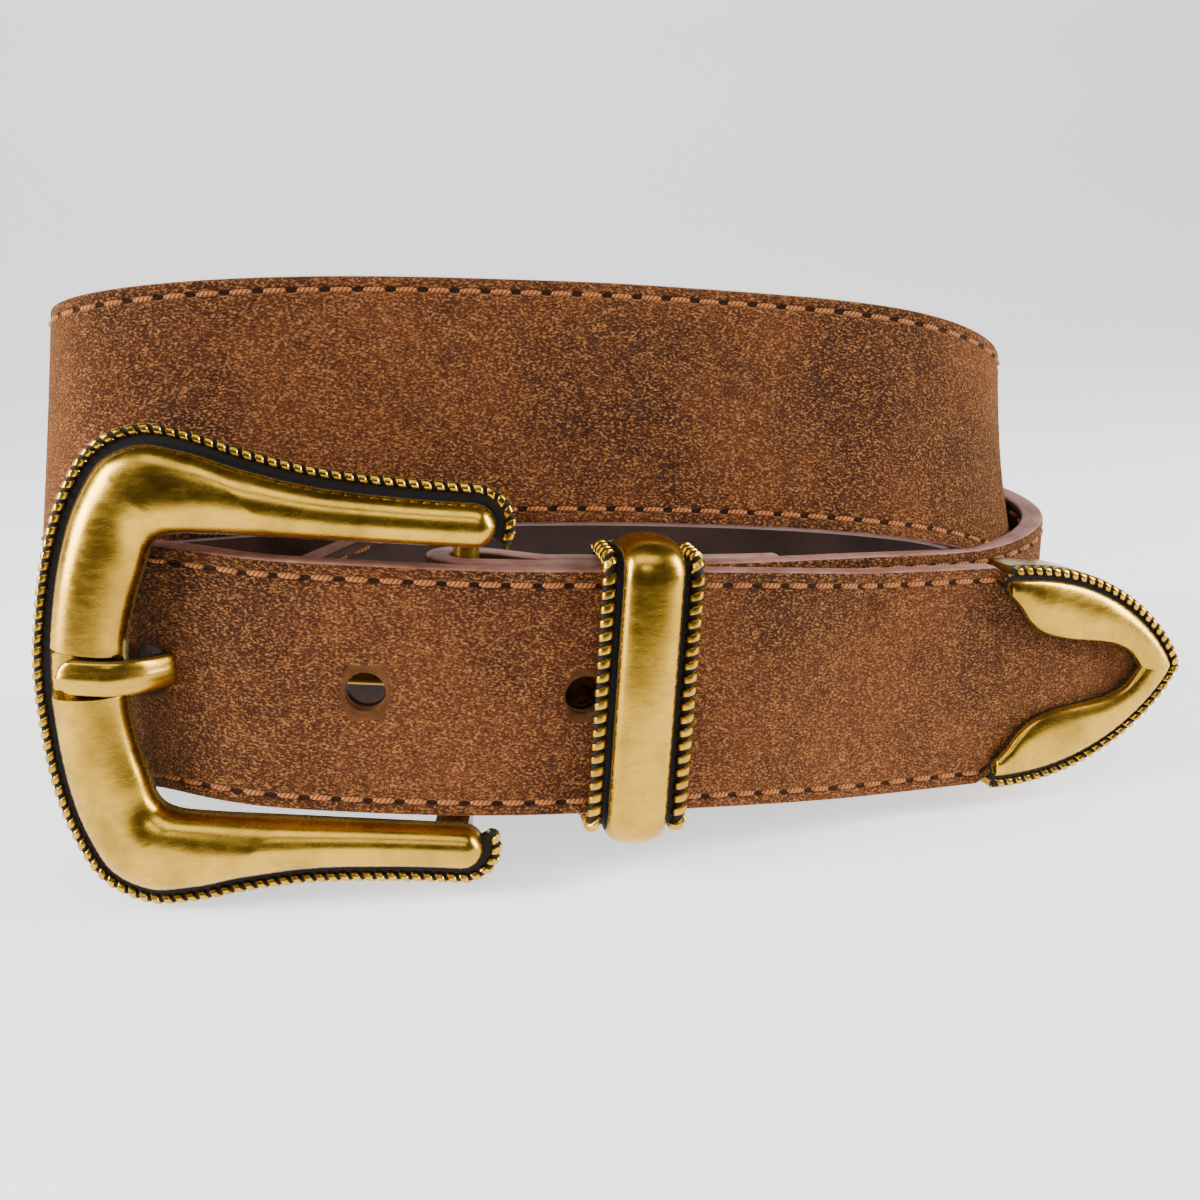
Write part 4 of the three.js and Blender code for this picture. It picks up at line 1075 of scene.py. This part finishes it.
def buckle_parts(settings):
    """Domed C frame, recessed groove plate, rope border, lugs and heel bar."""
    edge = resampled(mirrored_curve(FRAME_EDGE), count=FRAME_STATIONS)
    border = GROOVE + 2 * ROPE_RADIUS
    outer = offset_run(edge, border)
    inner = resampled(mirrored_curve(WINDOW_EDGE), count=FRAME_STATIONS)
    dome_outer, dome_inner = round_ends(outer, inner)
    beside = smoothstep(np.abs(dome_outer[:, 1]), PRONG_WIDTH / 2 + 0.2, PRONG_WIDTH / 2 + 1.2)
    rise = BUCKLE_RISE - PRONG_REST * (1 - beside)
    parts = [ridge(dome_outer, dome_inner, FRAME_BACK + CASTING_OVERLAP, PLATE_FRONT, rise)]
    reach = GROOVE + ROPE_RADIUS
    rim = offset_run(outer, -reach)
    wraps = []
    for i, sign in ((0, 1), (-1, -1)):
        middle = (outer[i] + inner[i]) / 2
        radius = abs(outer[i][1] - inner[i][1]) / 2 + reach
        angle = np.radians(np.linspace(-30, 84, 30)) * sign
        arc = middle + radius * np.stack([np.cos(angle), np.sin(angle)], axis=1)
        wraps.append(arc if sign > 0 else arc[::-1])
    body = rim[4:-4]
    border_run = np.concatenate([wraps[0], body, wraps[1]])
    inner_foot = resampled(inner, count=len(body) - 1)
    end_feet = [np.broadcast_to((outer[i] + inner[i]) / 2, wraps[i].shape) for i in (0, -1)]
    plate_inner = np.concatenate([
        end_feet[0], inner_foot - unit(inner_foot - body) * PLATE_SHY, end_feet[1]])
    parts.append(ribbon(border_run, plate_inner, FRAME_BACK, PLATE_FRONT))
    parts += flat_rope(resampled(border_run, step=0.5), PLATE_FRONT, settings.rope_pitch / MM)
    arm_middle = (outer[0][1] + inner[0][1]) / 2
    lug_half = (outer[0][1] - inner[0][1]) / 2 * 0.9
    for side in (-1, 1):
        lug = rectangle(-LUG_LENGTH / 2, LUG_LENGTH / 2, side * arm_middle, lug_half)
        parts.append(prism(lug, -BAR_RADIUS, PLATE_FRONT))
    bar_end = np.array([0, arm_middle, 0.0])
    parts.append(rod(-bar_end, bar_end, BAR_RADIUS))
    return [part.moved(buckle_frame()) for part in parts]


def prong_parts():
    """The tongue: a ridged bar from the eye round the heel bar, up its hole, over the frame.

    The knots give the way along the buckle and the height over the heel bar. Each ring is a
    flat-backed section with a soft ridge; the end rounds off on an ellipse.
    """
    inside = FOLD_RADIUS - HALF_THICKNESS
    top = PLATE_FRONT + BUCKLE_RISE - PRONG_REST + PRONG_THICKNESS / 2 + 0.1
    knots = np.array([
        (3.4, inside + 0.2), (19.6, inside + 0.6), (33, inside + 0.9), (37.5, inside + 1.7),
        (40.2, inside + 3.6), (42.7, inside + 6.9), (45.3, inside + 10.1), (48, top - 0.4),
        (51, top), (56.2, top - 0.3),
    ])
    line = np.stack([-knots[:, 0], np.zeros(len(knots)), knots[:, 1]], axis=1)
    run = resampled(spline(line, centripetal=True), step=0.4)
    up = np.array([0.0, 1.0, 0.0])
    out = unit(np.cross(up, heading(run)))
    out = out * np.sign(out[:, 2:3])
    way = travel(run)
    left = way[-1] - way
    round_off = np.sqrt(np.clip(1 - (1 - left / PRONG_NOSE).clip(0, 1) ** 2, 0.02, 1))
    angle = np.linspace(0, np.pi, 15)
    half = PRONG_WIDTH / 2
    thin = PRONG_THICKNESS / 2
    back = np.array([-0.92, -0.8, 0.8, 0.92])
    wide = np.concatenate([half * np.cos(angle), half * back])
    crown = thin * np.sin(angle) ** 0.62 * (0.86 + 0.14 * np.exp(-(np.cos(angle) / 0.16) ** 2))
    high = np.concatenate([crown, [-thin * 0.8, -thin, -thin, -thin * 0.8]])
    round_off = round_off[:, None]
    rings = swept(run, (up, wide * round_off), (out, high * (0.5 + 0.5 * round_off)))
    recess = np.concatenate([np.clip(0.75 - 1.3 * np.sin(angle), 0, 1), np.full(len(back), 0.9)])
    inner = BAR_RADIUS + BAR_CLEARANCE
    outer = inner + PRONG_EYE_WALL
    turn = circle(EYE_STEPS)
    loop = [np.stack([radius * np.cos(turn), np.full(EYE_STEPS, y), radius * np.sin(turn)], axis=1)
            for radius, y in ((inner, -half), (outer, -half * 0.9), (outer, half * 0.9),
                              (inner, half))]
    eye = Part(np.stack(loop, axis=1), closed=True, recess=0.4)
    return [part.moved(buckle_frame()) for part in (Part(rings, recess=recess[None, :]), eye)]


def keeper_path():
    """The keeper's inner path in (height, depth): a rounded rectangle round all the plies."""
    front = LAYER_PITCH + HALF_THICKNESS + KEEPER_CLEARANCE
    turn = np.array([KEEPER_TURN - 2 * FULL_TURN])
    chape, _, _, thick = chape_place(turn)
    first = route_place(turn)[0]
    depth = np.linalg.norm(chape - first) + HALF_THICKNESS * thick[0]
    back = -(depth + KEEPER_CLEARANCE)
    half = STRAP_WIDTH / 2 + KEEPER_CLEARANCE
    r = KEEPER_CORNER
    corners = []
    for centre, start in (((half - r, back + r), -90), ((half - r, front - r), 0),
                          ((-half + r, front - r), 90), ((-half + r, back + r), 180)):
        angle = np.radians(np.linspace(start, start + 90, 9))
        corners.append(np.stack([centre[0] + r * np.cos(angle), centre[1] + r * np.sin(angle)],
                                axis=1))
    path = np.concatenate(corners + [corners[0][:1]])
    return path, front, back


def keeper_parts(settings):
    """Smooth domed band between two dark grooves and two rope borders, one closed loop.

    Each ring runs across the keeper; its height over the wall is the rise times a half wave.
    """
    path, front, back = keeper_path()
    run = resampled(path, step=0.45)[:-1]
    before, after = np.roll(run, 1, axis=0), np.roll(run, -1, axis=0)
    way = unit(after - before)
    soft = way.copy()
    for _ in range(6):
        soft = unit(np.roll(soft, 1, axis=0) + 2 * soft + np.roll(soft, -1, axis=0))
    out = np.stack([np.zeros(len(run)), soft[:, 1], -soft[:, 0]], axis=1)
    side = (run[:, 1] - (front + back) / 2) / ((front - back) / 2)
    face = 0.15 + 0.85 * smoothstep(side, -0.9, 0.25)
    inner = np.concatenate([np.zeros((len(run), 1)), run], axis=1)
    band = KEEPER_BAND / 2
    flange = KEEPER_FLANGE / 2 - KEEPER_ROPE_RADIUS
    angle = np.linspace(0, np.pi, KEEPER_STEPS)
    across = np.concatenate([
        [-flange, -flange, -band - 0.1], -band * np.cos(angle), [band + 0.1, flange, flange]])
    base = np.concatenate([[0], np.full(KEEPER_STEPS + 4, KEEPER_WALL), [0]])
    dome = np.concatenate([[0, 0, 0], np.sin(angle) ** 0.72, [0, 0, 0]])
    lift = base[None, :] + dome[None, :] * (KEEPER_RISE * face)[:, None]
    rings = swept(inner, (out, lift))
    rings[:, :, 0] += across
    recess = np.concatenate([[1, 1, 1], np.clip(1.1 - 2.8 * np.sin(angle), 0, 1), [1, 1, 1]])
    parts = [Part(rings, closed=True, recess=recess[None, :])]
    shown = np.flatnonzero(side > -0.4)
    gap = np.flatnonzero(np.diff(shown) > 1)
    if len(gap):
        shown = np.concatenate([shown[gap[0] + 1:], shown[:gap[0] + 1]])
    for sign in (-1, 1):
        line = inner[shown] + out[shown] * KEEPER_WALL
        line[:, 0] += sign * flange
        parts += twisted_rope(line, out[shown], KEEPER_ROPE_RADIUS,
                              settings.keeper_rope_pitch / MM)
    point, along, up, outward = framed_at(route_place, KEEPER_TURN)
    origin = point - outward * LAYER_PITCH + along * KEEPER_SHIFT
    skew = np.radians(KEEPER_SKEW)
    skewed = (origin, along * np.cos(skew) + outward * np.sin(skew), up,
              outward * np.cos(skew) - along * np.sin(skew))
    return [part.moved(skewed) for part in parts]


def tip_outline(inset, count=60):
    """Upper half of the tip's outline: the arch over its length, less an inset."""
    share = np.sin(np.pi / 2 * np.linspace(0, 1, count))
    return np.stack([share * (TIP_LENGTH - inset), (TIP_HALF_WIDTH - inset) * arch_share(share)],
                    axis=1)


def with_mirror(half):
    """An upper half and its mirror image below, as one run."""
    return np.concatenate([half, half[-2::-1] * (1, -1)])


def tip_rail(inset):
    """The whole outline less an inset, in even steps."""
    return with_mirror(resampled(tip_outline(inset), count=TIP_STATIONS))


def tip_parts(settings):
    """Cast cap: flat back, side wall, front with a V cut-out, smooth dome and rope border."""
    front = TIP_HALF_DEPTH + TIP_WALL
    outline = tip_rail(0)
    cut_half = resampled(spline(TIP_CUTOUT * (TIP_LENGTH, TIP_HALF_WIDTH)), count=TIP_STATIONS)
    cut_half[:, 0] = np.maximum(cut_half[:, 0], 0.05)
    cutout = with_mirror(cut_half)
    dome_outer = tip_rail(2 * ROPE_RADIUS + GROOVE * 0.5)
    upper = np.abs(outline[:TIP_STATIONS + 1])
    slab = np.stack([at_height(upper * (1, side), height) for side, height in (
        (-1, -front), (1, -front), (1, -TIP_HALF_DEPTH), (-1, -TIP_HALF_DEPTH))], axis=1)
    parts = [
        ridge(dome_outer, cutout, TIP_HALF_DEPTH + CASTING_OVERLAP, front, TIP_RISE, fullness=0.7),
        ribbon(outline, cutout, TIP_HALF_DEPTH, front),
        ribbon(outline, tip_rail(TIP_WALL), -front, front, recess=0.35),
        Part(slab, recess=0.3),
    ]
    parts += flat_rope(tip_rail(ROPE_RADIUS), front, settings.rope_pitch / MM)
    frame = framed_at(tail_place, TAIL_MOUTH)
    return [part.moved(frame) for part in parts]


def colour_setting(name, description, code):
    return FloatVectorProperty(name=name, description=description, subtype="COLOR",
                               min=0, max=1, default=linear(code)[:3])


def share_setting(name, description, highest):
    return FloatProperty(name=name, description=description, subtype="FACTOR",
                         min=0, max=highest, default=1.0)


def length_setting(name, description, least, most, default):
    return FloatProperty(name=name, description=description, unit="LENGTH",
                         min=least * MM, max=most * MM, default=default * MM)


class BeltSettings(bpy.types.PropertyGroup):
    """Colours and sizes that a user would change."""

    suede_colour: colour_setting("Suede", "Main colour of the suede face", "#5d321a")
    brass_colour: colour_setting("Brass", "Colour of the polished brass", "#c49a34")
    patina: share_setting("Patina", "How dark the recesses of the castings are", 1)
    stitch_pitch: length_setting("Stitch Pitch", "From one stitch to the next", 2, 10, 4.7)
    rope_pitch: length_setting(
        "Rope Pitch", "From bead to bead of the buckle's and tip's border", 1, 4, 1.8)
    keeper_rope_pitch: length_setting(
        "Keeper Rope Pitch", "From bead to bead of the keeper's border", 1, 4, 2.1)
    strap_steps: length_setting(
        "Strap Step", "Distance between rows of the strap's mesh", 0.5, 10, 1.2)
    light: share_setting("Light", "Share of the studio lights' power", 4)


def first_stitch(way):
    """Where along the strap the first stitch of each row lies."""
    return float(way.way[way.coil_from]) + 1


class PieceMaker:
    """What the operators share: each makes its piece from the settings."""

    def execute(self, context):
        self.make(context.scene.belt_settings)
        return {"FINISHED"}


class BELT_OT_strap(PieceMaker, bpy.types.Operator):
    """Make the suede face and the lining, with painted edges and punched holes"""

    bl_idname = "belt.strap"
    bl_label = "Strap"

    def make(self, settings):
        way = StrapWay(settings.strap_steps / MM)
        glue = HALF_THICKNESS - SUEDE_THICKNESS - PLY_GAP / 2
        edge = edge_material()
        suede = suede_material(settings, first_stitch(way))
        for name, inner, outer, material, slot, node in (
            ("suede_face", glue + GLUE_LINE, HALF_THICKNESS, suede, "suede", "strap_face"),
            ("lining_ply", glue, -HALF_THICKNESS, lining_material(), "lining", "strap_lining"),
        ):
            piece = mesh_object(name, [ply_part(way, inner, outer)], [material, edge],
                                (node,))
            cut_through(piece, hole_tools())


class BELT_OT_stitches(PieceMaker, bpy.types.Operator):
    """Sew both edges of the strap"""

    bl_idname = "belt.stitches"
    bl_label = "Stitches"

    def make(self, settings):
        way = StrapWay(settings.strap_steps / MM)
        pitch = settings.stitch_pitch / MM
        start = first_stitch(way)
        end = way.way[way.tail_from] + TAIL_MOUTH + 8
        marks = np.arange(start, end, pitch)
        parts = [capsules(way, marks, row, sign, pitch * STITCH_COVER)
                 for sign in (1, -1) for row in (STITCH_ROW, -STITCH_ROW)]
        mesh_object("edge_stitches", parts, [thread_material()])


class BELT_OT_buckle(PieceMaker, bpy.types.Operator):
    """Cast the buckle frame and its prong"""

    bl_idname = "belt.buckle"
    bl_label = "Buckle"

    def make(self, settings):
        brass = brass_material(settings)
        mesh_object("cast_buckle", buckle_parts(settings), [brass], ("buckle_frame",))
        mesh_object("buckle_prong", prong_parts(), [brass], ("prong",))


class BELT_OT_keeper(PieceMaker, bpy.types.Operator):
    """Cast the keeper loop"""

    bl_idname = "belt.keeper"
    bl_label = "Keeper"

    def make(self, settings):
        mesh_object("cast_keeper", keeper_parts(settings), [brass_material(settings)],
                    ("keeper_loop",))


class BELT_OT_tip(PieceMaker, bpy.types.Operator):
    """Cast the pointed tip"""

    bl_idname = "belt.tip"
    bl_label = "Tip"

    def make(self, settings):
        mesh_object("cast_tip", tip_parts(settings), [brass_material(settings)],
                    ("belt_tip",))


def camera_axes():
    """Right, up and forward of the camera from its turn, pitch and roll."""
    turn, pitch, roll = np.radians([CAMERA_TURN, CAMERA_PITCH, CAMERA_ROLL])
    forward = np.array([np.sin(turn) * np.cos(pitch), np.cos(turn) * np.cos(pitch),
                        -np.sin(pitch)])
    right = np.array([np.cos(turn), -np.sin(turn), 0])
    up = np.cross(right, forward)
    return (right * np.cos(roll) + up * np.sin(roll),
            up * np.cos(roll) - right * np.sin(roll), forward)


def hung(data, place, right, up, forward):
    """A light or a camera, hung at a place in metres to look forward."""
    holder = bpy.data.objects.new(data.name, data)
    bpy.context.scene.collection.objects.link(holder)
    turn = Matrix(np.stack([right, up, -forward], axis=1).tolist())
    holder.matrix_world = Matrix.Translation(place) @ turn.to_4x4()
    return holder


def area_light(name, place, size, power):
    """A soft box that faces the belt."""
    light = bpy.data.lights.new(name, "AREA")
    light.shape = "RECTANGLE"
    light.size, light.size_y = size
    light.energy = power
    forward = unit(np.array(LIGHT_AIM) - np.array(place))
    right = unit(np.cross(forward, [0.0, 0.0, 1.0]))
    hung(light, place, right, np.cross(right, forward), forward)


class BELT_OT_stage(PieceMaker, bpy.types.Operator):
    """Set the white sweep, the studio lights and the camera"""

    bl_idname = "belt.stage"
    bl_label = "Stage"

    def make(self, settings):
        scene = bpy.context.scene
        line = spline(SWEEP, per_span=12)
        line[:, 1] = np.maximum(line[:, 1], 0) - SWEEP_GAP
        sides = np.array([-SWEEP_HALF_WIDTH, SWEEP_HALF_WIDTH])
        points = np.stack(np.broadcast_arrays(sides[None, :], line[:, :1], line[:, 1:]), axis=-1)
        mesh = bpy.data.meshes.new("paper_sweep")
        mesh.from_pydata(points.reshape(-1, 3).tolist(), [], grid_quads(len(line), 2).tolist())
        mesh.polygons.foreach_set("use_smooth", np.ones(len(mesh.polygons), bool))
        mesh.materials.append(backdrop_material())
        sweep = bpy.data.objects.new("paper_sweep", mesh)
        scene.collection.objects.link(sweep)

        for name, place, size, power in LIGHTS:
            area_light(name, place, size, power * settings.light)

        world = bpy.data.worlds.new("studio_air")
        world.use_nodes = True
        air = world.node_tree.nodes["Background"].inputs
        air["Color"].default_value = linear("#c8c8c8")
        air["Strength"].default_value = AIR_STRENGTH
        scene.world = world

        camera = bpy.data.cameras.new("photo_camera")
        camera.sensor_width = SENSOR_MM
        camera.lens = CAMERA_FOCUS_PX / PHOTO_PX * SENSOR_MM
        camera.clip_start = 0.01
        camera.clip_end = 50
        place = [value * MM for value in CAMERA_PLACE]
        scene.camera = hung(camera, place, *camera_axes())


OPERATORS = (BELT_OT_strap, BELT_OT_stitches, BELT_OT_buckle, BELT_OT_keeper, BELT_OT_tip,
             BELT_OT_stage)


class BELT_PT_panel(bpy.types.Panel):
    """The belt's pieces and settings"""

    bl_idname = "BELT_PT_panel"
    bl_label = "Western Belt"
    bl_space_type = "VIEW_3D"
    bl_region_type = "UI"
    bl_category = "Belt"

    def draw(self, context):
        settings = context.scene.belt_settings
        for name in BeltSettings.__annotations__:
            self.layout.prop(settings, name)
        for operator in OPERATORS:
            self.layout.operator(operator.bl_idname)


CLASSES = (BeltSettings, *OPERATORS, BELT_PT_panel)


def register():
    for cls in CLASSES:
        bpy.utils.register_class(cls)
    bpy.types.Scene.belt_settings = bpy.props.PointerProperty(type=BeltSettings)


def unregister():
    del bpy.types.Scene.belt_settings
    for cls in reversed(CLASSES):
        bpy.utils.unregister_class(cls)


def main():
    register()
    bpy.ops.belt.strap()
    bpy.ops.belt.stitches()
    bpy.ops.belt.buckle()
    bpy.ops.belt.keeper()
    bpy.ops.belt.tip()
    bpy.ops.belt.stage()


if __name__ == "__main__":
    main()
